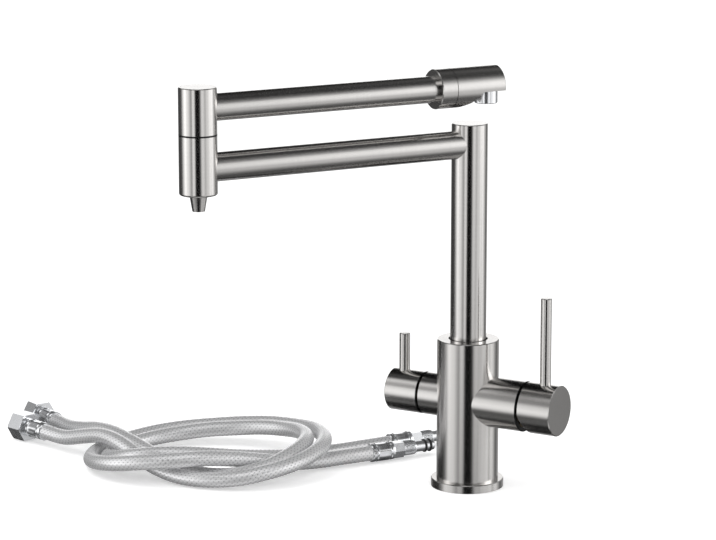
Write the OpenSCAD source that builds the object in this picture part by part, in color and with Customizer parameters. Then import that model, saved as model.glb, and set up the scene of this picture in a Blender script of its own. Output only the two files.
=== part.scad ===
// Three-way kitchen faucet with a folding two-arm spout, a mixer lever and a filtered-water lever.
// Origin: centre of the foot on the worktop. +Z up, +X towards the mixer lever, the user stands at -Y.
// The arms are drawn folded back over the column, in the direction rest_azimuth.

/* [Body] */
// Outer diameter of the body
body_d = 43; // [42:0.5:46]
// Height of the body above the worktop
body_h = 104.6; // [102:0.2:112]
// Outer diameter of the foot flange
flange_d = 50.6; // [50:0.2:58]
// Thickness of the foot flange
flange_t = 5.7; // [4:0.1:8]
// Depth of the lever axis below the top of the body
hub_drop = 42.8; // [42:0.2:44]
// Depth of the inlet block that closes the body from below
block_h = 22; // [18:1:26]
// Diameter of the inlet block
block_d = 36; // [35:0.5:37]
// Radius of the circle that the hose ports lie near
port_circle_r = 10.5; // [10:0.1:11]
// Bore of a hose port, tapped M10
port_d = 9; // [8.5:0.1:9.5]
// Bore of the fixing-stud hole, tapped M8
stud_d = 6.8; // [5:0.1:7.2]

/* [Column] */
// Outer diameter of the column tube
column_d = 25; // [24.6:0.1:25.4]
// Wall of the column tube
column_wall = 1.5; // [1:0.1:2]
// Height of the column's closed top
column_top_z = 255.2; // [253:0.2:257]
// How deep the column tube stands in the body
column_sink = 16.6; // [15:0.2:17.4]
// Diameter of the swivel spigot in the body
spigot_d = 19; // [18:0.1:20]
// Length of the swivel spigot below the column tube
spigot_reach = 20; // [19:0.2:21]
// Direction of the folded arms, counted from +X towards +Y
rest_azimuth = 239.2; // [0:0.1:360]

/* [Arms] */
// Distance from the column axis to the elbow axis
arm_span = 205.3; // [180:0.1:240]
// Outer diameter of the lower arm
lower_arm_d = 19.4; // [18:0.1:20.4]
// Outer diameter of the upper arm
upper_arm_d = 18.2; // [17:0.1:19]
// Wall of both arm tubes
arm_wall = 1.4; // [1:0.1:1.8]
// Depth of the lower arm's axis below the column's top
lower_arm_drop = 14.4; // [13.4:0.2:15]
// Height of the upper arm's axis above the lower arm's
arm_rise = 39.4; // [39.2:0.1:40.2]

/* [Elbow] */
// Outer diameter of the elbow
elbow_d = 25.6; // [25:0.1:27]
// Wall of the elbow housings
elbow_wall = 2.4; // [2:0.1:2.6]
// Depth of the elbow's lower end below the lower arm's axis
elbow_foot_drop = 17.5; // [16.8:0.1:19.8]
// Height of the seam between the two housings above the lower arm's axis
elbow_seam_rise = 22.3; // [21.7:0.1:22.7]
// Height of the elbow's top above the upper arm's axis
elbow_top_rise = 14.2; // [13.8:0.1:15.8]
// Journal diameter of the elbow spindle
spindle_d = 14.4; // [14:0.1:15]
// Height of the filtered-water nozzle below the elbow
nozzle_h = 10.8; // [8:0.1:14]
// Upper diameter of the nozzle's cone
nozzle_top_d = 12.1; // [11:0.1:14]
// Lower diameter of the nozzle's cone
nozzle_mouth_d = 8.4; // [7.5:0.1:10]

/* [Spout head] */
// Outer diameter of the spout head
head_d = 27.2; // [26.6:0.1:29]
// Distance from the elbow axis to the seam of the head
head_seam = 188.3; // [180:0.1:200]
// Length of the fixed collar in front of the seam
collar_l = 11.8; // [10:0.1:17]
// Length of the turning head behind the seam
head_l = 37.7; // [37.5:0.1:40.7]
// Depth of the step's roof below the head's axis
notch_drop = 2.5; // [2:0.1:3]
// Outer diameter of the aerator
aerator_d = 16; // [15.5:0.1:16.2]
// Depth of the aerator's mouth below the head's axis
aerator_drop = 12; // [10:0.1:13]

/* [Mixer lever] */
// Outer diameter of the mixer hub
mixer_hub_d = 35; // [34:0.1:37]
// Distance from the body axis to the end of the mixer sleeve
mixer_sleeve_end = 45.8; // [45.5:0.1:46.1]
// Visible gap between a sleeve and its cap
seam_gap = 1.1; // [0.8:0.1:1.3]
// Distance from the body axis to the end of the mixer cap
mixer_cap_end = 71.4; // [70:0.1:76]
// Distance from the body axis to the mixer lever
mixer_lever_x = 60.2; // [58:0.1:62]
// Height of the mixer lever's top above the lever axis
mixer_lever_rise = 77.7; // [50:0.1:88]
// How far the mixer lever tilts away from the body
mixer_tilt = 20; // [15:1:22]
// Diameter of both lever rods
lever_d = 7.6; // [7:0.1:8.4]
// Diameter of the ceramic cartridge
cartridge_d = 25; // [24.5:0.1:25.2]

/* [Filter lever] */
// Outer diameter of the filter hub
filter_hub_d = 29.5; // [28.5:0.1:31]
// Distance from the body axis to the end of the filter sleeve
filter_sleeve_end = 32.3; // [31.5:0.1:32.6]
// Distance from the body axis to the end of the filter cap
filter_cap_end = 58.7; // [57.5:0.1:62]
// Distance from the body axis to the filter lever
filter_lever_x = 50.3; // [49:0.1:51]
// Height of the filter lever's top above the lever axis
filter_lever_rise = 41; // [24:0.2:48]
// Thread diameter of the ceramic headwork
headwork_d = 18; // [17:0.1:19]

/* [Supply hoses] */
// Outer diameter of the braided hose
hose_d = 11; // [10:0.1:11]
// Width across flats of the union nut
hose_nut_af = 19; // [18.5:0.1:20]
// Thread bore of the union nut
hose_nut_bore = 15; // [14.8:0.1:15.4]
// Length of the union nut
hose_nut_l = 13; // [11:0.5:15]
// Outer diameter of the crimped ferrule
ferrule_d = 13.2; // [12.6:0.1:13.6]
// Length of a crimped ferrule
ferrule_l = 18; // [14:0.5:20]
// Thread diameter of the hose tail
tail_d = 10; // [9:0.1:10]

/* [Hidden] */
$fn = 96;

// Colours
steel = [0.72, 0.71, 0.70];
bright = [0.85, 0.86, 0.88];
brass = [0.80, 0.66, 0.34];
white_plastic = [0.92, 0.92, 0.90];
blue_plastic = [0.25, 0.42, 0.72];
black_rubber = [0.06, 0.06, 0.06];
ceramic = [0.95, 0.94, 0.90];

// Shared clearances and edges
fit = 0.05;      // radial clearance of a fitted or running pair
clear = 0.3;     // least gap between pieces that move past each other
cut = 1;         // how far a cutting shape reaches past the face it cuts
edge = 0.5;      // chamfer of the visible edges
far = 400;       // length of a cutting tube that crosses the whole part
fine = 24;       // sides of an O-ring's own section

// Radii from the diameters above
body_r = body_d / 2;
flange_r = flange_d / 2;
block_r = block_d / 2;
column_r = column_d / 2;
column_bore_r = column_r - column_wall;
spigot_r = spigot_d / 2;
lower_arm_r = lower_arm_d / 2;
upper_arm_r = upper_arm_d / 2;
lower_arm_bore_r = lower_arm_r - arm_wall;
upper_arm_bore_r = upper_arm_r - arm_wall;
elbow_r = elbow_d / 2;
head_r = head_d / 2;
mixer_hub_r = mixer_hub_d / 2;
filter_hub_r = filter_hub_d / 2;
lever_r = lever_d / 2;
cartridge_r = cartridge_d / 2;
headwork_r = headwork_d / 2;
aerator_r = aerator_d / 2;

// Heights above the worktop, and distances from the elbow axis, that follow from the sizes above
hub_z = body_h - hub_drop;
column_foot_z = body_h - column_sink;
spigot_foot_z = column_foot_z - spigot_reach;
lower_arm_z = column_top_z - lower_arm_drop;
upper_arm_z = lower_arm_z + arm_rise;
elbow_foot_z = lower_arm_z - elbow_foot_drop;
elbow_seam_z = lower_arm_z + elbow_seam_rise;
elbow_top_z = upper_arm_z + elbow_top_rise;
mixer_lever_top = hub_z + mixer_lever_rise;
filter_lever_top = hub_z + filter_lever_rise;
collar_from = head_seam - collar_l;
head_end = head_seam + head_l;

// Foot seal
seal_w = 1.6;
seal_h = 1.5;
seal_r = (body_r + flange_r) / 2 + 0.1;

// Inlet block: hot and cold ports towards the mixer, filter port opposite, stud hole at the back
port_r = port_d / 2;
port_depth = 16;
stud_depth = 18;
hot_port = [port_circle_r - 2.5, 7.5];
cold_port = [port_circle_r - 2.5, -7.5];
filter_port = [-port_circle_r, 0];
stud_at = [-4, port_circle_r + 1];
way_r = 2.5;

// Swivel joint of the column in the body
thrust_t = 1.9;
spigot_flange_t = 2;
spigot_flange_z = column_foot_z - spigot_flange_t;
neck_floor_z = spigot_flange_z - fit - thrust_t;
neck_r = column_r + 1.1;
spigot_grip = 12;
spigot_top_z = column_foot_z + spigot_grip;
spigot_bore_r = 6;
glide_h = 5;
glide_top_z = body_h - 0.8;
o_ring_r = 0.9;
o_ring_groove = 2.2;
screw_z = (spigot_foot_z + spigot_flange_z) / 2 + 1;
screw_r = 2.5;
screw_tip_r = 1.4;
screw_groove_r = spigot_r - 1.5;
column_cap_t = 2.5;

// Filtered-water tube inside the column and the lower arm
tube_r = 3;
tube_bore_r = 2;
tube_bend_r = 8;
tube_socket_z = hub_z - 0.5;

// Elbow
elbow_bore_r = elbow_r - elbow_wall;
elbow_floor_z = elbow_foot_z + 4;
elbow_round = 1.5;
seam_half = 0.2;
lower_top_z = elbow_seam_z - seam_half;
upper_foot_z = elbow_seam_z + seam_half;
spindle_r = spindle_d / 2;
spindle_seat_r = spindle_r + 0.8;
spindle_sink = 12;
spindle_foot_z = lower_top_z - spindle_sink;
spindle_bore_r = 4.5;
spindle_bore_top_z = upper_arm_z - 1.2;
spindle_port_r = 3;
spindle_port_z = upper_arm_z - 4.7;
chamber_drop = 8.7;
chamber_foot_z = upper_arm_z - chamber_drop;
arm_port_r = 5.8;
cap_t = 2;
elbow_cap_r = elbow_r - 2;
washer_t = 1.5;
elbow_screw_r = 2.5;
elbow_screw_head_r = 4.2;
elbow_screw_head_h = 3;
elbow_screw_room = 1.4;
spindle_top_z = elbow_top_z - cap_t - elbow_screw_room - elbow_screw_head_h - washer_t;
chamber_top_z = spindle_top_z - 3;
nozzle_neck_r = 4.6;
nozzle_neck_h = 7.7;
nozzle_bore_r = 2.4;
nozzle_socket_h = 5;

// Spout head, with distances counted from the elbow axis
collar_end = head_seam - 0.2;
head_from = head_seam + 0.2;
head_journal_r = upper_arm_bore_r + 0.3;
head_spigot_bore_r = 5.5;
head_spigot_grip = 14;
head_spigot_from = collar_end - head_spigot_grip;
head_flange_r = head_journal_r + 1.9;
head_flange_t = 1.5;
step_gap = 1.4;
notch_from = head_end - aerator_d - step_gap;
step_wall = 5.1;
step_bend = 7.5;
step_sweep = 2.4;
head_chamber_r = 6;
head_chamber_l = 2;
head_chamber_end = notch_from - step_wall;
head_bore_end = head_chamber_end - head_chamber_l;
head_journal_end = head_bore_end - 0.5;
head_channel_r = 2.8;
head_channel_up = 3.5;
head_clip_back = 3.4;
head_clip_at = head_journal_end - head_clip_back;
head_o_ring_at = (collar_end + head_clip_at) / 2;
clip_t = 1.4;
clip_in = 0.9;
clip_out = 1;
clip_gap_w = 9;
aerator_at = head_end - aerator_r;
aerator_neck_r = aerator_r - 0.7;
aerator_neck_up = 2.5;
aerator_bore_up = 6.5;
aerator_bore_r = aerator_r - 1.7;
aerator_hole_r = 0.75;
aerator_hole_pitch = 2.3;
aerator_recess = 0.8;

// Mixer cartridge, with distances counted from the body axis along +X
cartridge_seat = 16;
cartridge_base_t = 3;
fixed_disc_t = 3.5;
moving_disc_t = 3.45;
moving_disc_r = 7.6;
moving_disc_low = 1.5;
carrier_t = 5.5;
carrier_half_w = 6;
cartridge_front = 38;
cartridge_bore_r = cartridge_r - 1.4;
rotor_r = cartridge_bore_r - fit;
rotor_shoulder = cartridge_front - 0.4;
rotor_neck_r = rotor_r - 2.65;
rotor_end = mixer_sleeve_end - 0.8;
fixed_disc_x = cartridge_seat + cartridge_base_t;
moving_disc_x = fixed_disc_x + fixed_disc_t + fit;
carrier_x = moving_disc_x + moving_disc_t;
rotor_from = carrier_x + 0.5;
rotor_web_x = carrier_x + carrier_t + 0.7;
pivot_x = 40;
pivot_pin_r = 1.5;
pivot_pin_l = 15;
ball_x = carrier_x + carrier_t - 0.5;
ball_r = 2.2;
shank_r = 1.7;
stem_from = pivot_x - 4;
stem_half_w = 3.2;
stem_half_h = 3.5;
stem_end = mixer_lever_x + 5.8;
stem_slot_half_w = stem_half_w + 0.35;
stem_slot_half_h = stem_half_h + 2.8;
nut_r = mixer_hub_r - 3.1;
nut_from = cartridge_front + fit;
nut_end = mixer_sleeve_end - 0.5;
nut_bore_r = rotor_neck_r + 0.4;
nut_slots = 4;
nut_slot_w = 3;
mixer_cap_from = mixer_sleeve_end + seam_gap;
mixer_cap_wall = 2.6;
mixer_cap_hollow = 4.1;
relief_gap = 0.4;

// Threaded levers and grub screws
stud_r = 2.5;
lever_sink = 1.8;
stud_reach = 4.7;
grub_socket_af = 2.5;
grub_socket_h = 2;

// Filter headwork, with distances counted from the body axis along -X
headwork_seat = 13.5;
headwork_face = 19;
headwork_hex_af = 20;
headwork_hex_end = 24.5;
headwork_neck_r = 7;
headwork_neck_end = 30;
headwork_bore_r = headwork_r - 2.2;
headwork_bore_end = 21;
filter_disc_t = 2.3;
filter_spindle_r = 3.9;
filter_spindle_from = headwork_seat + 2 * filter_disc_t + fit;
filter_spindle_flange_t = 2.4;
filter_spindle_end = filter_lever_x + 3.7;
filter_flat = 3;
filter_flat_from = 40;
filter_sleeve_bore_r = filter_hub_r - 3.1;
filter_cap_from = filter_sleeve_end + seam_gap;
filter_cap_hollow = 4.5;

// Supply hoses, drawn in their own plane frame: u to the right and v away as seen from the front left
hose_turn = 30.5;
hose_r = hose_d / 2;
hose_sides = 10;
hose_a_route = [
    [-300.5, 137, 10], [-288.5, 120, 10], [-277, 103.5, 13], [-265.5, 87, 17], [-253, 71, 18.5],
    [-240.5, 55, 17], [-227, 39.5, 14], [-213.5, 25, 10.5], [-198, 11.5, 7.5], [-180.5, 1.5, 6],
    [-160.5, -2.5, 7.5], [-141, 1.5, 11.5], [-125, 13, 17], [-115.5, 30.5, 20], [-113, 51, 20.5],
    [-118.5, 70.5, 19.5], [-130, 87, 17], [-146.5, 99, 15], [-165.5, 106.5, 12.5], [-185.5, 108, 11],
    [-205.5, 105.5, 9], [-224.5, 97.5, 7.5], [-240, 84, 6.5], [-250.5, 66.5, 6], [-254, 46.5, 7.5],
    [-248.5, 27.5, 11.5], [-235, 13, 16.5], [-216.5, 6, 20], [-196, 6.5, 20], [-176.5, 12, 17.5],
    [-158.5, 21, 14], [-141, 31, 11], [-123.5, 41.5, 8.5], [-106, 52.5, 7.5], [-89, 63.5, 7],
    [-71.5, 74, 7], [-54, 84.5, 7]
];
hose_b_route = [
    [-304.5, 105, 10], [-289, 89.5, 10], [-274, 74, 15], [-259.5, 58.5, 19.5], [-245.5, 42, 18.5],
    [-231.5, 26, 13.5], [-216.5, 10.5, 8.5], [-199.5, -2.5, 6], [-180, -12, 6.5], [-158.5, -15, 8.5],
    [-137.5, -10.5, 12], [-119.5, 1.5, 15], [-106.5, 18.5, 18], [-100.5, 39.5, 19.5], [-101.5, 61, 19.5],
    [-109, 81.5, 18.5], [-122.5, 98.5, 16.5], [-140, 111, 15], [-160.5, 118.5, 13], [-182, 121.5, 11],
    [-204, 119.5, 9.5], [-224.5, 112.5, 8], [-242.5, 100, 6.5], [-256, 83.5, 6], [-264.5, 63.5, 6],
    [-266, 41.5, 7], [-259, 21, 10], [-245, 5, 13.5], [-226, -4.5, 17], [-204.5, -7, 19],
    [-183, -3.5, 19.5], [-163, 4.5, 17], [-144, 14.5, 13], [-125, 25.5, 8.5], [-106, 35.5, 7],
    [-86.5, 46, 7], [-67.5, 56.5, 7]
];
ferrule_r = ferrule_d / 2;
hose_way_r = 3;
hose_nut_r = hose_nut_bore / 2;
hose_nut_gap = 0.2;
hose_nut_wall = 3;
nipple_r = 4.2;
nipple_collar_t = 3;
nut_seat_r = hose_nut_r - 0.6;
nut_seat_l = nipple_collar_t + 0.5;
nipple_collar_r = nut_seat_r - clear;
tail_r = tail_d / 2;
tail_hex_af = 11;
tail_hex_l = 8;
tail_thread_l = 10;
tail_neck_r = 3.9;
tail_neck_l = 16;
tail_way_r = 2.4;
tail_grooves = [8.5, 12.5];

// A child revolved about the lever axis on the mixer side, starting x from the body axis
module on_mixer_axis(x) {
    translate([x, 0, hub_z])
        rotate([0, 90, 0])
            children();
}

// A child revolved about the lever axis on the filter side, starting x from the body axis
module on_filter_axis(x) {
    translate([-x, 0, hub_z])
        rotate([0, -90, 0])
            children();
}

// A child placed on the folded arms' direction, with local +X from the column towards the elbow
module toward_elbow(z) {
    rotate([0, 0, rest_azimuth])
        translate([0, 0, z])
            children();
}

// A child on the elbow axis, with its own z heights kept
module on_elbow_axis() {
    toward_elbow(0)
        translate([arm_span, 0, 0])
            children();
}

// A child on the upper arm's axis, with local +X from the elbow towards the spout head
module along_upper_arm() {
    toward_elbow(upper_arm_z)
        translate([arm_span, 0, 0])
            rotate([0, 0, 180])
                children();
}

// A tube along Z with its bore cut through
module pipe(r_out, r_in, h) {
    difference() {
        cylinder(r = r_out, h = h);
        translate([0, 0, -cut])
            cylinder(r = r_in, h = h + 2 * cut);
    }
}

// A cylinder along X from x0 to x1
module rod_x(r, x0, x1) {
    translate([x0, 0, 0])
        rotate([0, 90, 0])
            cylinder(r = r, h = x1 - x0);
}

// A cylinder with a chamfer at its lower and upper rims
module chamfered(r, h, low, high) {
    rotate_extrude()
        polygon([[0, 0], [r - low, 0], [r, low], [r, h - high], [r - high, h], [0, h]]);
}

// A drilling between two points
module drill(a, b, r) {
    v = b - a;
    translate(a)
        rotate([0, acos(v[2] / norm(v)), atan2(v[1], v[0])])
            cylinder(r = r, h = norm(v));
}

// An O-ring about Z
module o_ring(ring_r, section_r) {
    rotate_extrude()
        translate([ring_r, 0])
            circle(r = section_r, $fn = fine);
}

// A hexagonal bar along Z, measured across its flats
module hex_bar(af, h) {
    cylinder(r = af / 2 / cos(30), h = h, $fn = 6);
}

module base_flange() {
    color(steel)
        difference() {
            chamfered(flange_r, flange_t, 0, edge);
            translate([0, 0, -cut])
                cylinder(r = body_r + fit, h = flange_t + 2 * cut);
            translate([0, 0, -cut])
                difference() {
                    cylinder(r = seal_r + seal_w / 2 + fit, h = seal_h + fit + cut);
                    cylinder(r = seal_r - seal_w / 2 - fit, h = seal_h + fit + cut);
                }
        }
}

module deck_seal() {
    color(black_rubber)
        pipe(seal_r + seal_w / 2, seal_r - seal_w / 2, seal_h);
}

module faucet_body() {
    color(steel)
        difference() {
            chamfered(body_r, body_h, 0, edge);
            translate([0, 0, -cut])
                cylinder(r = block_r + fit, h = block_h + fit + cut);
            translate([0, 0, neck_floor_z])
                cylinder(r = neck_r, h = far);
            translate([0, 0, spigot_foot_z - 1])
                cylinder(r = spigot_r + fit, h = far);
            on_mixer_axis(cartridge_seat)
                cylinder(r = cartridge_r + fit, h = body_r);
            on_filter_axis(headwork_seat)
                cylinder(r = headwork_r + fit, h = body_r);
            on_filter_axis(headwork_face)
                cylinder(r = filter_sleeve_bore_r, h = body_r);
            waterways();
            rotate([0, 0, 90])
                translate([0, 0, screw_z])
                    rod_x(screw_r + fit, spigot_r, far);
        }
}

// Drillings that join the ports, the two valves and the column
module waterways() {
    for (p = [hot_port, cold_port]) {
        drill([p[0], p[1], block_h], [p[0], p[1], hub_z + way_r], way_r);
        drill([p[0], p[1], hub_z], [cartridge_seat + cut, p[1], hub_z], way_r);
    }
    drill([0, 0, hub_z + cartridge_bore_r - way_r - fit], [cartridge_seat + cut, 0, hub_z + 8.2], way_r);
    drill([filter_port[0], 0, block_h], [filter_port[0], 0, hub_z + way_r], way_r);
    drill([filter_port[0], 0, hub_z], [-headwork_seat - cut, 0, hub_z], way_r);
    drill([-headwork_seat - way_r, headwork_r - cut, hub_z], [0, 1.5, hub_z + 0.5], way_r * 0.7);
    drill([0, 0, tube_socket_z], [0, 0, spigot_foot_z], tube_r + fit);
}

module inlet_block() {
    color(brass)
        difference() {
            cylinder(r = block_r, h = block_h);
            for (p = [hot_port, cold_port, filter_port]) {
                translate([p[0], p[1], -cut])
                    cylinder(r = port_r, h = port_depth + cut);
                translate([p[0], p[1], 0])
                    cylinder(r = way_r, h = block_h + cut);
            }
            translate([stud_at[0], stud_at[1], -cut])
                cylinder(r = stud_d / 2, h = stud_depth + cut);
        }
}

module mixer_sleeve() {
    color(steel)
        difference() {
            on_mixer_axis(0)
                chamfered(mixer_hub_r, mixer_sleeve_end, 0, edge);
            cylinder(r = body_r, h = far);
            on_mixer_axis(-cut)
                cylinder(r = cartridge_r + fit, h = far);
            on_mixer_axis(cartridge_front)
                cylinder(r = nut_r + fit, h = far);
        }
}

module filter_sleeve() {
    color(steel)
        difference() {
            on_filter_axis(0)
                chamfered(filter_hub_r, filter_sleeve_end, 0, edge);
            cylinder(r = body_r, h = far);
            on_filter_axis(-cut)
                cylinder(r = filter_sleeve_bore_r, h = far);
        }
}

module cartridge_housing() {
    color(white_plastic)
        difference() {
            on_mixer_axis(cartridge_seat)
                cylinder(r = cartridge_r, h = cartridge_front - cartridge_seat);
            on_mixer_axis(fixed_disc_x)
                cylinder(r = cartridge_bore_r, h = far);
            disc_ports(cartridge_seat - cut, fixed_disc_x + cut);
        }
}

// Two inlets and one outlet through the cartridge's base and fixed disc
module disc_ports(x0, x1) {
    for (y = [hot_port[1], cold_port[1]])
        translate([0, y, hub_z])
            rod_x(way_r, x0, x1);
    translate([0, 0, hub_z + 8.2])
        rod_x(way_r, x0, x1);
}

module cartridge_fixed_disc() {
    color(ceramic)
        difference() {
            on_mixer_axis(fixed_disc_x)
                cylinder(r = cartridge_bore_r - fit, h = fixed_disc_t);
            disc_ports(fixed_disc_x - cut, moving_disc_x + cut);
        }
}

module cartridge_nut() {
    color(brass)
        on_mixer_axis(nut_from)
            difference() {
                pipe(nut_r, nut_bore_r, nut_end - nut_from);
                for (i = [0 : nut_slots - 1])
                    rotate([0, 0, i * 360 / nut_slots + 45])
                        translate([nut_bore_r + 2.6, -nut_slot_w / 2, nut_end - nut_from - 2])
                            cube([nut_r, nut_slot_w, 2 + cut]);
            }
}

module headwork_body() {
    color(brass)
        difference() {
            union() {
                on_filter_axis(headwork_seat)
                    cylinder(r = headwork_r, h = headwork_face - headwork_seat);
                on_filter_axis(headwork_face)
                    hex_bar(headwork_hex_af, headwork_hex_end - headwork_face);
                on_filter_axis(headwork_hex_end)
                    cylinder(r = headwork_neck_r, h = headwork_neck_end - headwork_hex_end);
            }
            on_filter_axis(headwork_seat - cut)
                cylinder(r = headwork_bore_r, h = headwork_bore_end - headwork_seat + cut);
            on_filter_axis(headwork_bore_end - cut)
                cylinder(r = filter_spindle_r + fit, h = far);
        }
}

module headwork_fixed_disc() {
    color(ceramic)
        difference() {
            on_filter_axis(headwork_seat)
                cylinder(r = headwork_bore_r - fit, h = filter_disc_t);
            for (side = [-1, 1])
                translate([0, side * headwork_bore_r / 2, 0])
                    on_filter_axis(headwork_seat - cut)
                        cylinder(r = way_r * 0.7, h = filter_disc_t + 2 * cut);
        }
}

module column_glide_ring() {
    color(black_rubber)
        translate([0, 0, glide_top_z - glide_h])
            pipe(neck_r - fit, column_r + fit, glide_h);
}

module column_thrust_washer() {
    color(white_plastic)
        translate([0, 0, neck_floor_z])
            pipe(neck_r - clear, spigot_r + clear, thrust_t);
}

module column_set_screw() {
    color(bright)
        rotate([0, 0, 90])
            translate([0, 0, screw_z])
                difference() {
                    union() {
                        rod_x(screw_r, spigot_r + 0.6, body_r - edge);
                        rod_x(screw_tip_r, screw_groove_r + 0.4, spigot_r + 0.6);
                    }
                    translate([body_r - edge - grub_socket_h, 0, 0])
                        rotate([0, 90, 0])
                            hex_bar(grub_socket_af, grub_socket_h + cut);
                }
}

module column_tube() {
    color(steel)
        difference() {
            translate([0, 0, column_foot_z])
                chamfered(column_r, column_top_z - column_foot_z, 0, edge);
            translate([0, 0, column_foot_z - cut])
                cylinder(r = column_bore_r, h = far);
            toward_elbow(lower_arm_z)
                rod_x(lower_arm_bore_r, 0, column_d);
        }
}

module column_cap() {
    color(steel)
        translate([0, 0, column_top_z - column_cap_t])
            cylinder(r = column_bore_r - fit, h = column_cap_t);
}

module swivel_spigot() {
    color(brass)
        difference() {
            union() {
                translate([0, 0, spigot_foot_z])
                    cylinder(r = spigot_r, h = spigot_flange_z - spigot_foot_z);
                translate([0, 0, spigot_flange_z])
                    cylinder(r = column_r, h = column_foot_z - spigot_flange_z);
                translate([0, 0, column_foot_z])
                    cylinder(r = column_bore_r - fit, h = spigot_top_z - column_foot_z);
            }
            translate([0, 0, spigot_foot_z - cut])
                cylinder(r = spigot_bore_r, h = far);
            for (z = spigot_grooves())
                translate([0, 0, z - o_ring_groove / 2])
                    pipe(far, spigot_r - 2 * o_ring_r, o_ring_groove);
            translate([0, 0, screw_z - screw_tip_r - 0.4])
                pipe(far, screw_groove_r, 2 * screw_tip_r + 0.8);
        }
}

// Heights of the two O-ring grooves on the spigot
function spigot_grooves() = [spigot_foot_z + 2.6, spigot_flange_z - 2.6];

module spigot_o_rings() {
    color(black_rubber)
        for (z = spigot_grooves())
            translate([0, 0, z])
                o_ring(spigot_r - o_ring_r, o_ring_r);
}

module filter_tube() {
    run_z = lower_arm_z - tube_bend_r;
    color(white_plastic) {
        translate([0, 0, tube_socket_z + 1.5])
            pipe(tube_r, tube_bore_r, run_z - tube_socket_z - 1.5);
        toward_elbow(run_z)
            translate([tube_bend_r, 0, 0])
                tube_bend(90);
        toward_elbow(lower_arm_z)
            translate([tube_bend_r, 0, 0])
                rotate([0, 90, 0])
                    pipe(tube_r, tube_bore_r, arm_span - 2 * tube_bend_r);
        toward_elbow(run_z)
            translate([arm_span - tube_bend_r, 0, 0])
                tube_bend(0);
        on_elbow_axis()
            translate([0, 0, elbow_foot_z + nozzle_neck_h - nozzle_socket_h])
                pipe(tube_r, tube_bore_r, run_z - elbow_foot_z - nozzle_neck_h + nozzle_socket_h);
    }
}

// A quarter bend of the filtered-water tube in the upright plane of the arms
module tube_bend(start) {
    rotate([90, 0, 0])
        rotate([0, 0, start])
            rotate_extrude(angle = 90)
                translate([tube_bend_r, 0])
                    difference() {
                        circle(r = tube_r);
                        circle(r = tube_bore_r);
                    }
}

module lower_arm_tube() {
    color(steel)
        difference() {
            toward_elbow(lower_arm_z)
                rod_x(lower_arm_r, 0, arm_span);
            toward_elbow(lower_arm_z)
                rod_x(lower_arm_bore_r, -cut, arm_span + cut);
            cylinder(r = column_r, h = far);
            on_elbow_axis()
                cylinder(r = elbow_r, h = far);
        }
}

module elbow_lower_housing() {
    h = lower_top_z - elbow_foot_z;
    color(steel)
        difference() {
            on_elbow_axis()
                translate([0, 0, elbow_foot_z])
                    rotate_extrude()
                        rounded_foot_profile(elbow_r, h, elbow_round);
            on_elbow_axis()
                translate([0, 0, elbow_floor_z])
                    cylinder(r = elbow_bore_r, h = spindle_foot_z - elbow_floor_z);
            on_elbow_axis()
                translate([0, 0, spindle_foot_z - cut])
                    cylinder(r = spindle_seat_r + fit, h = far);
            on_elbow_axis()
                translate([0, 0, elbow_foot_z - cut])
                    cylinder(r = nozzle_neck_r + fit, h = nozzle_neck_h);
            on_elbow_axis()
                translate([0, 0, lower_arm_z])
                    rod_x(lower_arm_bore_r, -elbow_d, 0);
        }
}

// Half section of a cylinder whose lower rim is rounded
module rounded_foot_profile(r, h, round_r) {
    square([r - round_r, h]);
    translate([0, round_r])
        square([r, h - round_r]);
    translate([r - round_r, round_r])
        circle(r = round_r);
}

module elbow_spindle() {
    color(brass)
        on_elbow_axis()
            difference() {
                union() {
                    translate([0, 0, spindle_foot_z])
                        cylinder(r = spindle_seat_r, h = lower_top_z - spindle_foot_z);
                    translate([0, 0, lower_top_z])
                        cylinder(r = spindle_r, h = spindle_top_z - lower_top_z);
                }
                translate([0, 0, spindle_foot_z - cut])
                    cylinder(r = spindle_bore_r, h = spindle_bore_top_z - spindle_foot_z + cut);
                translate([0, 0, spindle_port_z])
                    rod_x(spindle_port_r, -far / 2, far / 2);
                translate([0, 0, spindle_bore_top_z + 0.5])
                    cylinder(r = elbow_screw_r + fit, h = far);
                for (z = elbow_grooves())
                    translate([0, 0, z - o_ring_groove / 2])
                        pipe(far, spindle_r - 2 * o_ring_r, o_ring_groove);
            }
}

// Heights of the two O-ring grooves on the elbow spindle
function elbow_grooves() = [upper_foot_z + 4, spindle_top_z - 1.7];

module elbow_seam_washer() {
    color(black_rubber)
        on_elbow_axis()
            translate([0, 0, lower_top_z])
                pipe(elbow_r - edge, spindle_r + fit, 2 * seam_half - fit);
}

module elbow_o_rings() {
    color(black_rubber)
        on_elbow_axis()
            for (z = elbow_grooves())
                translate([0, 0, z])
                    o_ring(spindle_r - o_ring_r, o_ring_r);
}

module elbow_retaining_washer() {
    color(bright)
        on_elbow_axis()
            translate([0, 0, spindle_top_z])
                pipe(spindle_r + 2.4, elbow_screw_r + fit, washer_t);
}

module elbow_screw() {
    color(bright)
        on_elbow_axis()
            difference() {
                union() {
                    translate([0, 0, spindle_bore_top_z + 0.6])
                        cylinder(r = elbow_screw_r, h = spindle_top_z + washer_t - spindle_bore_top_z - 0.6);
                    translate([0, 0, spindle_top_z + washer_t])
                        cylinder(r = elbow_screw_head_r, h = elbow_screw_head_h);
                }
                translate([0, 0, spindle_top_z + washer_t + elbow_screw_head_h - grub_socket_h])
                    hex_bar(grub_socket_af + 1, grub_socket_h + cut);
            }
}

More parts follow.
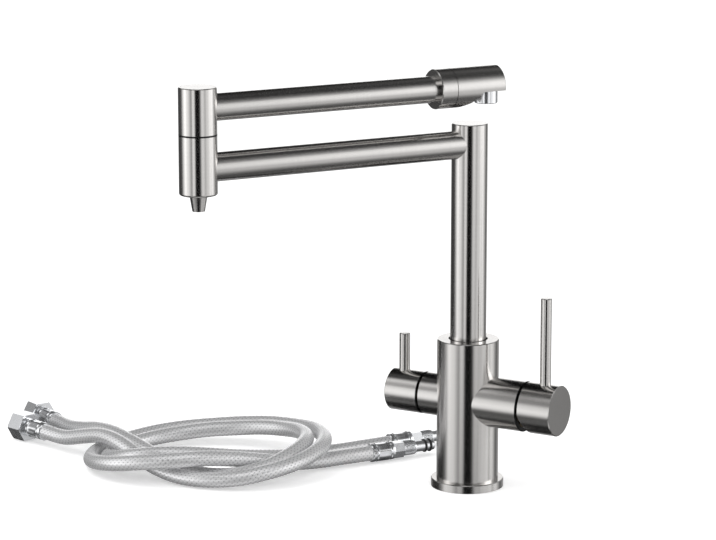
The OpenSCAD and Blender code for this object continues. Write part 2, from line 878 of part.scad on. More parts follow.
module filter_nozzle() {
    color(steel)
        on_elbow_axis()
            difference() {
                union() {
                    translate([0, 0, elbow_foot_z - nozzle_h])
                        cylinder(r1 = nozzle_mouth_d / 2, r2 = nozzle_top_d / 2, h = nozzle_h);
                    translate([0, 0, elbow_foot_z])
                        cylinder(r = nozzle_neck_r, h = nozzle_neck_h);
                }
                translate([0, 0, elbow_foot_z - nozzle_h - cut])
                    cylinder(r = nozzle_bore_r, h = far);
                translate([0, 0, elbow_foot_z + nozzle_neck_h - nozzle_socket_h])
                    cylinder(r = tube_r + fit, h = far);
            }
}

module elbow_upper_housing() {
    color(steel)
        difference() {
            on_elbow_axis()
                translate([0, 0, upper_foot_z])
                    chamfered(elbow_r, elbow_top_z - upper_foot_z, 0, edge);
            on_elbow_axis()
                translate([0, 0, upper_foot_z - cut])
                    cylinder(r = spindle_r + fit, h = far);
            on_elbow_axis()
                translate([0, 0, chamber_foot_z])
                    cylinder(r = elbow_bore_r, h = chamber_top_z - chamber_foot_z);
            on_elbow_axis()
                translate([0, 0, spindle_top_z - fit])
                    cylinder(r = elbow_cap_r, h = far);
            along_upper_arm()
                rod_x(arm_port_r, elbow_bore_r - cut, elbow_d);
        }
}

module elbow_top_cap() {
    color(steel)
        on_elbow_axis()
            translate([0, 0, elbow_top_z - cap_t])
                cylinder(r = elbow_cap_r - fit, h = cap_t);
}

module upper_arm_tube() {
    color(steel)
        difference() {
            along_upper_arm()
                rod_x(upper_arm_r, 0, collar_end);
            along_upper_arm()
                rod_x(upper_arm_bore_r, -cut, collar_end + cut);
            on_elbow_axis()
                cylinder(r = elbow_r, h = far);
        }
}

module head_collar() {
    color(steel)
        along_upper_arm()
            translate([collar_from, 0, 0])
                rotate([0, 90, 0])
                    difference() {
                        chamfered(head_r, collar_end - collar_from, edge, 0);
                        translate([0, 0, -cut])
                            cylinder(r = upper_arm_r + fit, h = far);
                    }
}

module head_spigot() {
    color(brass)
        along_upper_arm()
            difference() {
                union() {
                    rod_x(upper_arm_bore_r - fit, head_spigot_from, collar_end);
                    rod_x(head_flange_r, collar_end, collar_end + head_flange_t);
                    rod_x(head_journal_r, collar_end + head_flange_t, head_journal_end);
                }
                rod_x(head_spigot_bore_r, head_spigot_from - cut, head_journal_end + cut);
                translate([head_o_ring_at - o_ring_groove / 2, 0, 0])
                    rotate([0, 90, 0])
                        pipe(far, head_journal_r - 2 * o_ring_r, o_ring_groove);
                translate([head_clip_at, 0, 0])
                    rotate([0, 90, 0])
                        pipe(far, head_journal_r - clip_in - fit, clip_t + 2 * fit);
            }
}

module head_o_ring() {
    color(black_rubber)
        along_upper_arm()
            translate([head_o_ring_at, 0, 0])
                rotate([0, 90, 0])
                    o_ring(head_journal_r - o_ring_r, o_ring_r);
}

module head_clip() {
    color(bright)
        along_upper_arm()
            translate([head_clip_at + fit, 0, 0])
                difference() {
                    rotate([0, 90, 0])
                        pipe(head_journal_r + clip_out, head_journal_r - clip_in, clip_t);
                    translate([-cut, -clip_gap_w / 2, -far / 2])
                        cube([clip_t + 2 * cut, clip_gap_w, far / 2]);
                }
}

// Step under the head's end: a level roof, and a wall that slants down towards the seam and then sweeps out
module head_step() {
    reach = head_r + cut;
    sweep = step_bend + step_sweep * (reach - step_bend);
    translate([notch_from, 0, -notch_drop])
        rotate([90, 0, 0])
            linear_extrude(2 * reach, center = true)
                polygon([
                    [0, 0], [head_end, 0], [head_end, -reach], [-sweep, -reach], [-step_bend, -step_bend]
                ]);
}

module spout_head() {
    color(steel)
        along_upper_arm()
            difference() {
                translate([head_from, 0, 0])
                    rotate([0, 90, 0])
                        chamfered(head_r, head_end - head_from, 0, edge);
                head_step();
                rod_x(head_flange_r + clear, head_from - cut, collar_end + head_flange_t + clear);
                rod_x(head_journal_r + fit, head_from, head_bore_end);
                rod_x(head_journal_r + clip_out + clear, head_clip_at - clear, head_clip_at + clip_t + clear + fit);
                rod_x(head_chamber_r, head_from, head_chamber_end);
                translate([0, 0, head_channel_up])
                    rod_x(head_channel_r, head_chamber_end - cut, aerator_at);
                translate([aerator_at, 0, -notch_drop - cut])
                    cylinder(r = aerator_neck_r + fit, h = notch_drop + cut + aerator_bore_up);
            }
}

module aerator_ring() {
    shown_h = aerator_drop - notch_drop - fit;
    color(bright)
        along_upper_arm()
            translate([aerator_at, 0, -aerator_drop])
                difference() {
                    union() {
                        chamfered(aerator_r, shown_h, edge, 0);
                        translate([0, 0, shown_h])
                            cylinder(r = aerator_neck_r, h = fit + notch_drop + aerator_neck_up);
                    }
                    translate([0, 0, -cut])
                        cylinder(r = aerator_bore_r, h = far);
                }
}

module aerator_insert() {
    h = aerator_drop - aerator_recess;
    color(white_plastic)
        along_upper_arm()
            translate([aerator_at, 0, -h])
                difference() {
                    cylinder(r = aerator_bore_r - fit, h = h);
                    for (p = aerator_holes())
                        translate([p[0], p[1], -cut])
                            cylinder(r = aerator_hole_r, h = h + 2 * cut);
                }
}

// Centres of the aerator's jets: one in the middle, then rings of 6 and 12
function aerator_holes() = concat(
    [[0, 0]],
    [for (ring = [1, 2]) for (i = [0 : 6 * ring - 1])
        ring * aerator_hole_pitch * [cos(i * 60 / ring), sin(i * 60 / ring)]]
);

module cartridge_rotor() {
    color(blue_plastic)
        difference() {
            union() {
                on_mixer_axis(rotor_from)
                    cylinder(r = rotor_r, h = rotor_shoulder - rotor_from);
                on_mixer_axis(rotor_shoulder)
                    cylinder(r = rotor_neck_r, h = rotor_end - rotor_shoulder);
            }
            translate([rotor_from - cut, -carrier_half_w - clear, 0])
                cube([rotor_web_x - rotor_from + cut, 2 * (carrier_half_w + clear), far]);
            translate([rotor_from, -stem_slot_half_w, hub_z - stem_slot_half_h])
                cube([far, 2 * stem_slot_half_w, 2 * stem_slot_half_h]);
            translate([pivot_x, 0, hub_z])
                rotate([90, 0, 0])
                    cylinder(r = pivot_pin_r + fit, h = far, center = true);
        }
}

module rotor_pivot_pin() {
    color(bright)
        translate([pivot_x, 0, hub_z])
            rotate([90, 0, 0])
                cylinder(r = pivot_pin_r, h = pivot_pin_l, center = true);
}

module cartridge_moving_disc() {
    color(ceramic)
        translate([0, 0, -moving_disc_low])
            on_mixer_axis(moving_disc_x)
                cylinder(r = moving_disc_r, h = moving_disc_t);
}

module disc_carrier() {
    low = moving_disc_r - 1.1 + moving_disc_low;
    high = moving_disc_r - 1.1 - moving_disc_low;
    color(white_plastic)
        difference() {
            translate([carrier_x, -carrier_half_w, hub_z - low])
                cube([carrier_t, 2 * carrier_half_w, low + high]);
            on_mixer_axis(ball_x - ball_r - clear)
                cylinder(r = ball_r + clear, h = far);
        }
}

module mixer_stem() {
    color(bright)
        difference() {
            union() {
                translate([ball_x, 0, hub_z])
                    sphere(r = ball_r);
                translate([0, 0, hub_z])
                    rod_x(shank_r, ball_x, stem_from + cut);
                translate([stem_from, -stem_half_w, hub_z - stem_half_h])
                    cube([stem_end - stem_from, 2 * stem_half_w, 2 * stem_half_h]);
            }
            translate([pivot_x, 0, hub_z])
                rotate([90, 0, 0])
                    cylinder(r = pivot_pin_r + fit, h = far, center = true);
        }
}

module mixer_cap() {
    length = mixer_cap_end - mixer_cap_from;
    color(steel)
        difference() {
            on_mixer_axis(mixer_cap_from)
                chamfered(mixer_hub_r, length, edge, edge);
            on_mixer_axis(mixer_cap_from - cut)
                cylinder(r = mixer_hub_r - mixer_cap_wall, h = mixer_cap_hollow + cut);
            translate([mixer_cap_from, -stem_half_w - fit, hub_z - stem_half_h - fit])
                cube([stem_end + fit - mixer_cap_from, 2 * (stem_half_w + fit), 2 * (stem_half_h + fit)]);
            translate([mixer_lever_x, 0, hub_z])
                lever_hole(mixer_hub_r);
            tilt_relief();
        }
}

// The half space that the cap gives up below its axis, so that it clears the sleeve when it tilts
module tilt_relief() {
    translate([pivot_x, 0, hub_z])
        rotate([0, -mixer_tilt, 0])
            translate([mixer_sleeve_end + relief_gap - pivot_x - far, -far / 2, -far / 2])
                cube([far, far, far]);
}

// The tapped hole and the seat of a lever in a cap of radius r, from the cap's axis upwards
module lever_hole(r) {
    cylinder(r = stud_r + fit, h = r);
    translate([0, 0, r - lever_sink])
        cylinder(r = lever_r + fit, h = far);
}

// A lever rod that stands on a cap of radius r and reaches the height top above the cap's axis
module lever_rod(r, top) {
    translate([0, 0, r - lever_sink])
        chamfered(lever_r, top - r + lever_sink, 0, edge);
    translate([0, 0, r - lever_sink - stud_reach])
        cylinder(r = stud_r, h = stud_reach);
}

// A grub screw between the shaft's face at height low and the lever's stud in a cap of radius r
module grub_screw(low, r) {
    top = r - lever_sink - stud_reach - clear;
    difference() {
        translate([0, 0, low])
            cylinder(r = stud_r, h = top - low);
        translate([0, 0, top - grub_socket_h])
            hex_bar(grub_socket_af, grub_socket_h + cut);
    }
}

module mixer_lever() {
    color(steel)
        translate([mixer_lever_x, 0, hub_z])
            lever_rod(mixer_hub_r, mixer_lever_top - hub_z);
}

module mixer_grub_screw() {
    color(bright)
        translate([mixer_lever_x, 0, hub_z])
            grub_screw(stem_half_h, mixer_hub_r);
}

module filter_spindle() {
    color(bright)
        difference() {
            union() {
                on_filter_axis(filter_spindle_from)
                    cylinder(r = headwork_bore_r - clear, h = filter_spindle_flange_t);
                on_filter_axis(filter_spindle_from)
                    cylinder(r = filter_spindle_r, h = filter_spindle_end - filter_spindle_from);
            }
            translate([-filter_spindle_end - cut, -filter_spindle_r - cut, hub_z + filter_flat])
                cube([filter_spindle_end - filter_flat_from + cut, 2 * (filter_spindle_r + cut), far]);
        }
}

module headwork_moving_disc() {
    color(ceramic)
        on_filter_axis(headwork_seat + filter_disc_t + fit)
            difference() {
                cylinder(r = headwork_bore_r - clear, h = filter_disc_t);
                translate([-headwork_bore_r, 0, -cut])
                    cylinder(r = headwork_bore_r / 2, h = filter_disc_t + 2 * cut);
            }
}

module filter_cap() {
    length = filter_cap_end - filter_cap_from;
    color(steel)
        difference() {
            on_filter_axis(filter_cap_from)
                chamfered(filter_hub_r, length, edge, edge);
            on_filter_axis(filter_cap_from - cut)
                cylinder(r = filter_hub_r - mixer_cap_wall, h = filter_cap_hollow + cut);
            on_filter_axis(filter_cap_from)
                cylinder(r = filter_spindle_r + fit, h = filter_spindle_end + fit - filter_cap_from);
            translate([-filter_lever_x, 0, hub_z])
                lever_hole(filter_hub_r);
        }
}

module filter_lever() {
    color(steel)
        translate([-filter_lever_x, 0, hub_z])
            lever_rod(filter_hub_r, filter_lever_top - hub_z);
}

module filter_grub_screw() {
    color(bright)
        translate([-filter_lever_x, 0, hub_z])
            grub_screw(filter_flat, filter_hub_r);
}

// The hoses are swept along their route points by the functions below
function at_end(route, i) = route[max(0, min(len(route) - 1, i))];
function unit(v) = v / norm(v);
function heading(route, i) = unit(at_end(route, i + 1) - at_end(route, i - 1));
function beside(t) = unit(cross(t, [0, 0, 1]));
function ring(centre, t, r, sides) = [
    for (k = [0 : sides - 1])
        centre + r * (cos(360 * k / sides) * beside(t) + sin(360 * k / sides) * cross(beside(t), t))
];

// A tube swept along a route, with flat ends square to it
module swept_tube(route, r, sides) {
    n = len(route);
    points = [for (i = [0 : n - 1]) each ring(route[i], heading(route, i), r, sides)];
    walls = [for (i = [0 : n - 2]) for (k = [0 : sides - 1])
        each [
            [i * sides + k, i * sides + (k + 1) % sides, (i + 1) * sides + k],
            [i * sides + (k + 1) % sides, (i + 1) * sides + (k + 1) % sides, (i + 1) * sides + k]
        ]];
    first = [[for (k = [sides - 1 : -1 : 0]) k]];
    last = [[for (k = [0 : sides - 1]) (n - 1) * sides + k]];
    polyhedron(points = points, faces = concat(walls, first, last), convexity = 10);
}

// A child carried to a hose end, with local +Z pointing out of the hose
module at_hose_end(tip, inner) {
    v = tip - inner;
    translate(tip)
        rotate([0, acos(v[2] / norm(v)), atan2(v[1], v[0])])
            children();
}

module hose_plane() {
    rotate([0, 0, hose_turn])
        children();
}

module hose_a_braid() {
    color(bright)
        hose_plane()
            swept_tube(hose_a_route, hose_r, hose_sides);
}

module hose_b_braid() {
    color(bright)
        hose_plane()
            swept_tube(hose_b_route, hose_r, hose_sides);
}

// The end of a hose that carries the union nut, and the end that carries the threaded tail
module at_nut_end(route) {
    hose_plane()
        at_hose_end(route[0], route[1])
            rotate([0, 0, 30])
                children();
}

module at_tail_end(route) {
    last = len(route) - 1;
    hose_plane()
        at_hose_end(route[last], route[last - 1])
            rotate([0, 0, 30])
                children();
}

// Union nut that turns on the nipple: a floor, a seat round the nipple's collar, and the thread bore
module union_nut() {
    translate([0, 0, ferrule_l + hose_nut_gap])
        difference() {
            intersection() {
                hex_bar(hose_nut_af, hose_nut_l);
                chamfered(hose_nut_af / 2 / cos(30), hose_nut_l, edge, edge);
            }
            translate([0, 0, -cut])
                cylinder(r = nipple_r + fit, h = hose_nut_l);
            translate([0, 0, hose_nut_wall])
                cylinder(r = nut_seat_r, h = hose_nut_l);
            translate([0, 0, hose_nut_wall + nut_seat_l])
                cylinder(r = hose_nut_r, h = hose_nut_l);
        }
}

// Crimped ferrule with the collared nipple that holds the union nut
module nut_ferrule() {
    neck = hose_nut_gap + hose_nut_wall + fit;
    difference() {
        union() {
            chamfered(ferrule_r, ferrule_l, edge, edge);
            cylinder(r = nipple_r, h = ferrule_l + neck + nipple_collar_t);
            translate([0, 0, ferrule_l + neck])
                cylinder(r = nipple_collar_r, h = nipple_collar_t);
        }
        translate([0, 0, -cut])
            cylinder(r = hose_way_r, h = ferrule_l + neck + nipple_collar_t + 2 * cut);
    }
}

module tail_ferrule() {
    difference() {
        chamfered(ferrule_r, ferrule_l, edge, edge);
        translate([0, 0, -cut])
            cylinder(r = hose_way_r, h = ferrule_l + 2 * cut);
    }
}

// Threaded tail that screws into the inlet block and seals with two O-rings
module hose_tail() {
    neck_from = tail_hex_l + tail_thread_l;
    translate([0, 0, ferrule_l])
        difference() {
            union() {
                hex_bar(tail_hex_af, tail_hex_l);
                cylinder(r = tail_r, h = neck_from);
                chamfered(tail_neck_r, neck_from + tail_neck_l, 0, edge);
            }
            for (z = tail_grooves)
                translate([0, 0, neck_from + z - o_ring_r])
                    pipe(tail_neck_r + cut, tail_neck_r - o_ring_r, 2 * o_ring_r);
            translate([0, 0, -cut])
                cylinder(r = tail_way_r, h = neck_from + tail_neck_l + 2 * cut);
        }
}

module tail_o_rings() {
    for (z = tail_grooves)
        translate([0, 0, ferrule_l + tail_hex_l + tail_thread_l + z])
            o_ring(tail_neck_r, o_ring_r);
}

module hose_a_nut() {
    color(bright)
        at_nut_end(hose_a_route)
            union_nut();
}

module hose_b_nut() {
    color(bright)
        at_nut_end(hose_b_route)
            union_nut();
}

module hose_ferrules(route) {
    color(bright) {
        at_nut_end(route)
            nut_ferrule();
        at_tail_end(route)
            tail_ferrule();
    }
}

module hose_a_ferrules() {
    hose_ferrules(hose_a_route);
}

module hose_b_ferrules() {
    hose_ferrules(hose_b_route);
}

module hose_a_tail() {
    color(bright)
        at_tail_end(hose_a_route)
            hose_tail();
}

module hose_b_tail() {
    color(bright)
        at_tail_end(hose_b_route)
            hose_tail();
}

module hose_o_rings() {
    color(black_rubber)
        for (route = [hose_a_route, hose_b_route])
            at_tail_end(route)
                tail_o_rings();
}

base_flange();
deck_seal();
faucet_body();
inlet_block();
mixer_sleeve();
filter_sleeve();
cartridge_housing();
cartridge_fixed_disc();
cartridge_nut();
headwork_body();
headwork_fixed_disc();
column_glide_ring();
column_thrust_washer();
column_set_screw();
column_tube();
column_cap();
swivel_spigot();
spigot_o_rings();
filter_tube();
lower_arm_tube();
elbow_lower_housing();
elbow_spindle();
elbow_seam_washer();
elbow_o_rings();
elbow_retaining_washer();
elbow_screw();
filter_nozzle();
elbow_upper_housing();
elbow_top_cap();
upper_arm_tube();
head_collar();
head_spigot();
head_o_ring();
head_clip();
spout_head();
aerator_ring();
aerator_insert();
cartridge_rotor();
rotor_pivot_pin();
cartridge_moving_disc();
disc_carrier();
mixer_stem();
mixer_cap();
mixer_lever();
mixer_grub_screw();
filter_spindle();
headwork_moving_disc();
filter_cap();
filter_lever();
filter_grub_screw();
hose_a_braid();
hose_b_braid();
hose_a_nut();
hose_b_nut();
hose_a_ferrules();
hose_b_ferrules();
hose_a_tail();
hose_b_tail();
hose_o_rings();
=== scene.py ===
"""Looks of a three-way kitchen faucet with a folding spout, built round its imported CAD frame.

The turned and brushed pieces are the CAD solids with their finishes. The two supply hoses, their crimped
ferrules and the threads are worked out here. Everything is in metres, in the frame of the CAD model.
"""

import logging
import math
from dataclasses import dataclass
from enum import Enum

import bpy
import numpy as np
from mathutils import Matrix, Vector

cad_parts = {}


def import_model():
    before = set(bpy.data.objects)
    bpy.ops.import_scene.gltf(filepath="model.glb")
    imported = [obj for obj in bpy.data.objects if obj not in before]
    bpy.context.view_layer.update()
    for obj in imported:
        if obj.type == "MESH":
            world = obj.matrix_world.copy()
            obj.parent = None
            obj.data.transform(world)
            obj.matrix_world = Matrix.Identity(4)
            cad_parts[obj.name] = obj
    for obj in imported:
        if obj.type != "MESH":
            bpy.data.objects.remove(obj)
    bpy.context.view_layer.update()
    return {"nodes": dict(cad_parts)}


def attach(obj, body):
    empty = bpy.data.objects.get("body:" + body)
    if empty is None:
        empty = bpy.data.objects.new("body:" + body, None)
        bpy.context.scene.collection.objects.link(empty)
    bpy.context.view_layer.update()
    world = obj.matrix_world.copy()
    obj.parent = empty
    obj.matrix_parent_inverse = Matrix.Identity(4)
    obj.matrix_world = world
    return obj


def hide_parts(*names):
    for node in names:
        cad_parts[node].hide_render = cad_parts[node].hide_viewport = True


LOG = logging.getLogger("faucet")
MM = 0.001
TURN = 2 * math.pi

# The photograph looks at the faucet from this direction, counted from -Y towards +X
VIEW_AZIMUTH = math.radians(30.5)
VIEW_PITCH = math.radians(11.76)

# The folded arms run in this direction, counted from +X towards +Y
ARM_AZIMUTH = math.radians(59.2)


class Axis(Enum):
    """The direction that a turned piece is round about, which its brushing goes round."""

    UPRIGHT = (0.0, 0.0, 1.0)
    LEVERS = (1.0, 0.0, 0.0)
    ARMS = (math.cos(ARM_AZIMUTH), math.sin(ARM_AZIMUTH), 0.0)
    SCREW = (0.0, 1.0, 0.0)


class Slot(Enum):
    """The record's material slots for new pieces."""

    CHROME = "chrome"
    BRAID = "steel_braid"


# Surfaces and meshes


def sealed_grid(rows: int, columns: int) -> np.ndarray:
    """Lists the quads of a grid that closes on itself both ways, like a ring's skin.

    Args:
        rows: Number of rings along the path.
        columns: Number of points round each ring.

    Returns:
        Vertex numbers of the quads, four in a row.
    """
    i, k = np.meshgrid(np.arange(rows), np.arange(columns), indexing="ij")
    this_ring = i * columns
    next_ring = (i + 1) % rows * columns
    k_next = (k + 1) % columns
    quads = np.stack([this_ring + k, next_ring + k, next_ring + k_next, this_ring + k_next], -1)
    return quads.reshape(-1, 4)


def tube_grid(rows: int, columns: int) -> np.ndarray:
    """Lists the quads of a grid that closes round each ring and is open at its two ends.

    Args:
        rows: Number of rings along the path.
        columns: Number of points round each ring.

    Returns:
        Vertex numbers of the quads, four in a row.
    """
    return sealed_grid(rows, columns)[: (rows - 1) * columns]


def signed_volume(points: np.ndarray, quads: np.ndarray) -> float:
    """Adds up the signed volumes between the origin and each triangle. Outward faces give a positive sum.

    Args:
        points: Vertices, three numbers in a row.
        quads: Faces as vertex numbers.

    Returns:
        The enclosed volume, negative if the faces point inwards.
    """
    first, second, third, fourth = (points[quads[:, k]] for k in range(4))
    one = np.einsum("ij,ij->i", first, np.cross(second, third))
    two = np.einsum("ij,ij->i", first, np.cross(third, fourth))
    return float((one + two).sum() / 6)


def add_object(name: str, data: bpy.types.ID) -> bpy.types.Object:
    """Adds an object for a mesh, a lamp or a camera to the scene."""
    made = bpy.data.objects.new(name, data)
    bpy.context.scene.collection.objects.link(made)
    return made


def aimed(place: tuple[float, float, float], direction: Vector) -> Matrix:
    """Works out how a camera or lamp lies that stands at a place and points in a direction."""
    return Matrix.Translation(place) @ direction.to_track_quat("-Z", "Y").to_matrix().to_4x4()


def make_piece(name: str, points: np.ndarray, quads: np.ndarray, caps: list[list[int]] | None = None
               ) -> bpy.types.Object:
    """Puts arrays into a smooth-shaded mesh object at the origin, with its faces pointing outwards.

    Args:
        name: Name of the object and its mesh.
        points: Vertices, three numbers in a row.
        quads: Quads as vertex numbers.
        caps: Flat end faces with more corners, if it has any.

    Returns:
        The new object, linked to the scene.
    """
    if signed_volume(points, quads) < 0:
        quads = quads[:, ::-1]
    mesh = bpy.data.meshes.new(name)
    mesh.from_pydata(points.tolist(), [], quads.tolist() + (caps or []))
    mesh.update()
    mesh.shade_smooth()
    return add_object(name, mesh)


def keep_edges(piece: bpy.types.Object, degrees: float) -> None:
    """Shades edges sharper than an angle as edges, and the rest smooth."""
    piece.data.set_sharp_from_angle(angle=math.radians(degrees))


def place_piece(piece: bpy.types.Object, body: str, slot: Slot, finish: "Finish", *nodes: str) -> None:
    """Rides a new piece on its body, dresses it and hides the CAD nodes it stands for.

    Args:
        piece: The new piece.
        body: Name of the CAD body that it moves with.
        slot: Its material slot in the record; not used.
        finish: The finish that it gets.
        nodes: Names of the CAD nodes that it stands for, if any.
    """
    piece.data.materials.append(finish.material())
    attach(piece, body)
    if nodes:
        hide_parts(*nodes)
    LOG.info("%s rides on %s, %d faces", piece.name, body, len(piece.data.polygons))


@dataclass(frozen=True)
class Route:
    """A smooth line through chosen points, as a Catmull-Rom curve.

    Each span is a cubic of its four nearest points.
    """

    points: tuple[tuple[float, float, float], ...]
    steps_per_span: int = 24
    fine_steps: int = 2000

    def at(self, steps: int) -> np.ndarray:
        """Computes points along the curve, evenly spaced by length.

        Args:
            steps: Number of points wanted.

        Returns:
            The points in metres, three numbers in a row.
        """
        knots = np.array(self.points)
        last = len(knots) - 1
        place = np.linspace(0, last, last * self.steps_per_span + 1)
        span = np.minimum(place.astype(int), last - 1)
        t = (place - span)[:, None]
        before, start, end, after = (knots[np.clip(span + k, 0, last)] for k in (-1, 0, 1, 2))
        curve = 0.5 * (
            2 * start
            + (end - before) * t
            + (2 * before - 5 * start + 4 * end - after) * t**2
            + (3 * start - before - 3 * end + after) * t**3
        )
        run = np.concatenate([[0], np.cumsum(np.linalg.norm(np.diff(curve, axis=0), axis=1))])
        even = np.linspace(0, run[-1], steps)
        return np.stack([np.interp(even, run, curve[:, k]) for k in range(3)], axis=1)

    def length(self) -> float:
        """Length of the curve in metres."""
        curve = self.at(self.fine_steps)
        return float(np.linalg.norm(np.diff(curve, axis=0), axis=1).sum())


def frames_along(curve: np.ndarray) -> tuple[np.ndarray, np.ndarray, np.ndarray]:
    """Gives each point of a flat-lying curve its heading, a level side direction and one square to both.

    The heading is the curve's slope made one long. The side is the cross product of the heading and the
    upright, and the third direction is that of the side and the heading.

    Args:
        curve: Points along the curve.

    Returns:
        Headings, side directions and rising directions, each three numbers in a row.
    """
    heading = np.gradient(curve, axis=0)
    heading /= np.linalg.norm(heading, axis=1, keepdims=True)
    side = np.cross(heading, [0.0, 0.0, 1.0])
    side /= np.linalg.norm(side, axis=1, keepdims=True)
    return heading, side, np.cross(side, heading)


@dataclass(frozen=True)
class End:
    """One end of a hose: where its braid stops and the direction that points out of it."""

    tip: tuple[float, float, float]
    out: tuple[float, float, float]

    def place(self, along: np.ndarray, radius: np.ndarray, angle: np.ndarray) -> np.ndarray:
        """Turns distances along the axis, radii and angles into points round the hose's axis.

        A point is the tip, plus the distance times the way out, plus the radius times a direction across.
        That direction is the cosine of the angle times the level side plus its sine times the rise.

        Args:
            along: Distance out of the hose, in metres.
            radius: Distance from the axis, in metres.
            angle: Angle about the axis, in radians.

        Returns:
            The points in the object's frame.
        """
        out = np.array(self.out)
        side = np.cross(out, [0.0, 0.0, 1.0])
        side /= np.linalg.norm(side)
        rise = np.cross(side, out)
        across = np.cos(angle)[..., None] * side + np.sin(angle)[..., None] * rise
        return np.array(self.tip) + along[..., None] * out + radius[..., None] * across


# Finishes


def grey(level: float) -> tuple[float, float, float, float]:
    """Colour of a grey at a level."""
    return (level, level, level, 1.0)


class Nodes:
    """A small helper that adds shader nodes to a material and joins them."""

    def __init__(self, tree: bpy.types.NodeTree) -> None:
        """Starts on an empty tree."""
        self.tree = tree
        tree.nodes.clear()

    def add(self, kind: str, **settings: object) -> bpy.types.Node:
        """Adds a node and sets its properties.

        Args:
            kind: The node's type name.
            settings: Its properties by name.

        Returns:
            The new node.
        """
        node = self.tree.nodes.new(kind)
        for key, value in settings.items():
            setattr(node, key, value)
        return node

    def join(self, start: bpy.types.NodeSocket, end: bpy.types.NodeSocket) -> None:
        """Joins an output socket to an input socket."""
        self.tree.links.new(start, end)

    def feed(self, socket: bpy.types.NodeSocket, value: object) -> None:
        """Gives an input another node's output or a fixed value.

        Args:
            socket: The input.
            value: An output socket, or a number or colour.
        """
        if isinstance(value, bpy.types.NodeSocket):
            self.join(value, socket)
        else:
            socket.default_value = value

    def math(self, operation: str, *values: object) -> bpy.types.NodeSocket:
        """Adds a Math node.

        Args:
            operation: Its operation.
            values: Sockets or numbers for its inputs, in order.

        Returns:
            The node's output.
        """
        node = self.add("ShaderNodeMath", operation=operation)
        for socket, value in zip(node.inputs, values):
            self.feed(socket, value)
        return node.outputs[0]

    def blend(self, factor: bpy.types.NodeSocket, first: object, second: object) -> bpy.types.NodeSocket:
        """Adds a Mix node that goes from one colour to another.

        Args:
            factor: Socket that is 0 for the first colour and 1 for the second.
            first: Socket or colour.
            second: Socket or colour.

        Returns:
            The mixed colour.
        """
        node = self.add("ShaderNodeMix", data_type="RGBA", blend_type="MIX")
        for name, value in (("Factor", factor), ("A", first), ("B", second)):
            self.feed(node.inputs[name], value)
        return node.outputs["Result"]

    def ramp(self, value: bpy.types.NodeSocket, stops: tuple[tuple[float, float], ...]
             ) -> bpy.types.NodeSocket:
        """Adds a Color Ramp of greys.

        Args:
            value: Socket that it reads.
            stops: Place and level of each of its stops.

        Returns:
            The ramp's colour.
        """
        node = self.add("ShaderNodeValToRGB")
        band = node.color_ramp
        while len(band.elements) < len(stops):
            band.elements.new(0.5)
        for element, (place, level) in zip(band.elements, stops):
            element.position = place
            element.color = grey(level)
        self.join(value, node.inputs[0])
        return node.outputs[0]

    def grain(self, axis: Axis, fine: float, long: float, detail: float) -> bpy.types.NodeSocket:
        """Adds noise that is fine along a piece's axis and long across it, so that its streaks run round.

        Args:
            axis: The piece's axis.
            fine: Size of the grain along the axis, in metres.
            long: Size of the grain across the axis, in metres.
            detail: Octaves of the noise.

        Returns:
            The noise's value.
        """
        place = self.add("ShaderNodeTexCoord")
        turned = self.add("ShaderNodeMapping", vector_type="TEXTURE")
        x, y, z = axis.value
        turned.inputs["Rotation"].default_value = (0, 0, math.atan2(y, x) if z == 0 else 0)
        turned.inputs["Scale"].default_value = (long, long, fine) if z else (fine, long, long)
        noise = self.add("ShaderNodeTexNoise")
        noise.inputs["Scale"].default_value = 1.0
        noise.inputs["Detail"].default_value = detail
        self.join(place.outputs["Object"], turned.inputs["Vector"])
        self.join(turned.outputs["Vector"], noise.inputs["Vector"])
        return noise.outputs[0]

    def bump(self, height: bpy.types.NodeSocket, depth: float) -> bpy.types.NodeSocket:
        """Adds a Bump node, which raises the surface by a height times a depth.

        Args:
            height: Socket of the height, from 0 to 1.
            depth: The rise at height 1, in metres.

        Returns:
            The bumped normal.
        """
        node = self.add("ShaderNodeBump")
        node.inputs["Strength"].default_value = 1.0
        node.inputs["Distance"].default_value = depth
        self.join(height, node.inputs["Height"])
        return node.outputs["Normal"]


@dataclass(frozen=True)
class Finish:
    """A surface finish. Each kind of finish fills in its own shader."""

    name: str
    colour: tuple[float, float, float]
    roughness: float

    def material(self) -> bpy.types.Material:
        """Makes the material once and hands back the same one afterwards.

        Returns:
            The material.
        """
        known = bpy.data.materials.get(self.name)
        if known:
            return known
        made = bpy.data.materials.new(self.name)
        made.use_nodes = True
        nodes = Nodes(made.node_tree)
        shader = nodes.add("ShaderNodeBsdfPrincipled")
        shader.inputs["Base Color"].default_value = (*self.colour, 1)
        shader.inputs["Roughness"].default_value = self.roughness
        output = nodes.add("ShaderNodeOutputMaterial")
        nodes.join(shader.outputs["BSDF"], output.inputs["Surface"])
        self.shade(nodes, shader)
        return made

    def shade(self, nodes: Nodes, shader: bpy.types.Node) -> None:
        """Fills in what sets this finish apart. A plain finish has nothing more."""

    def dress(self, piece: bpy.types.Object) -> None:
        """Puts the finish on a CAD node, in its own material slots.

        Args:
            piece: The node's object.
        """
        if piece.material_slots:
            for slot in piece.material_slots:
                slot.material = self.material()
        else:
            piece.data.materials.append(self.material())


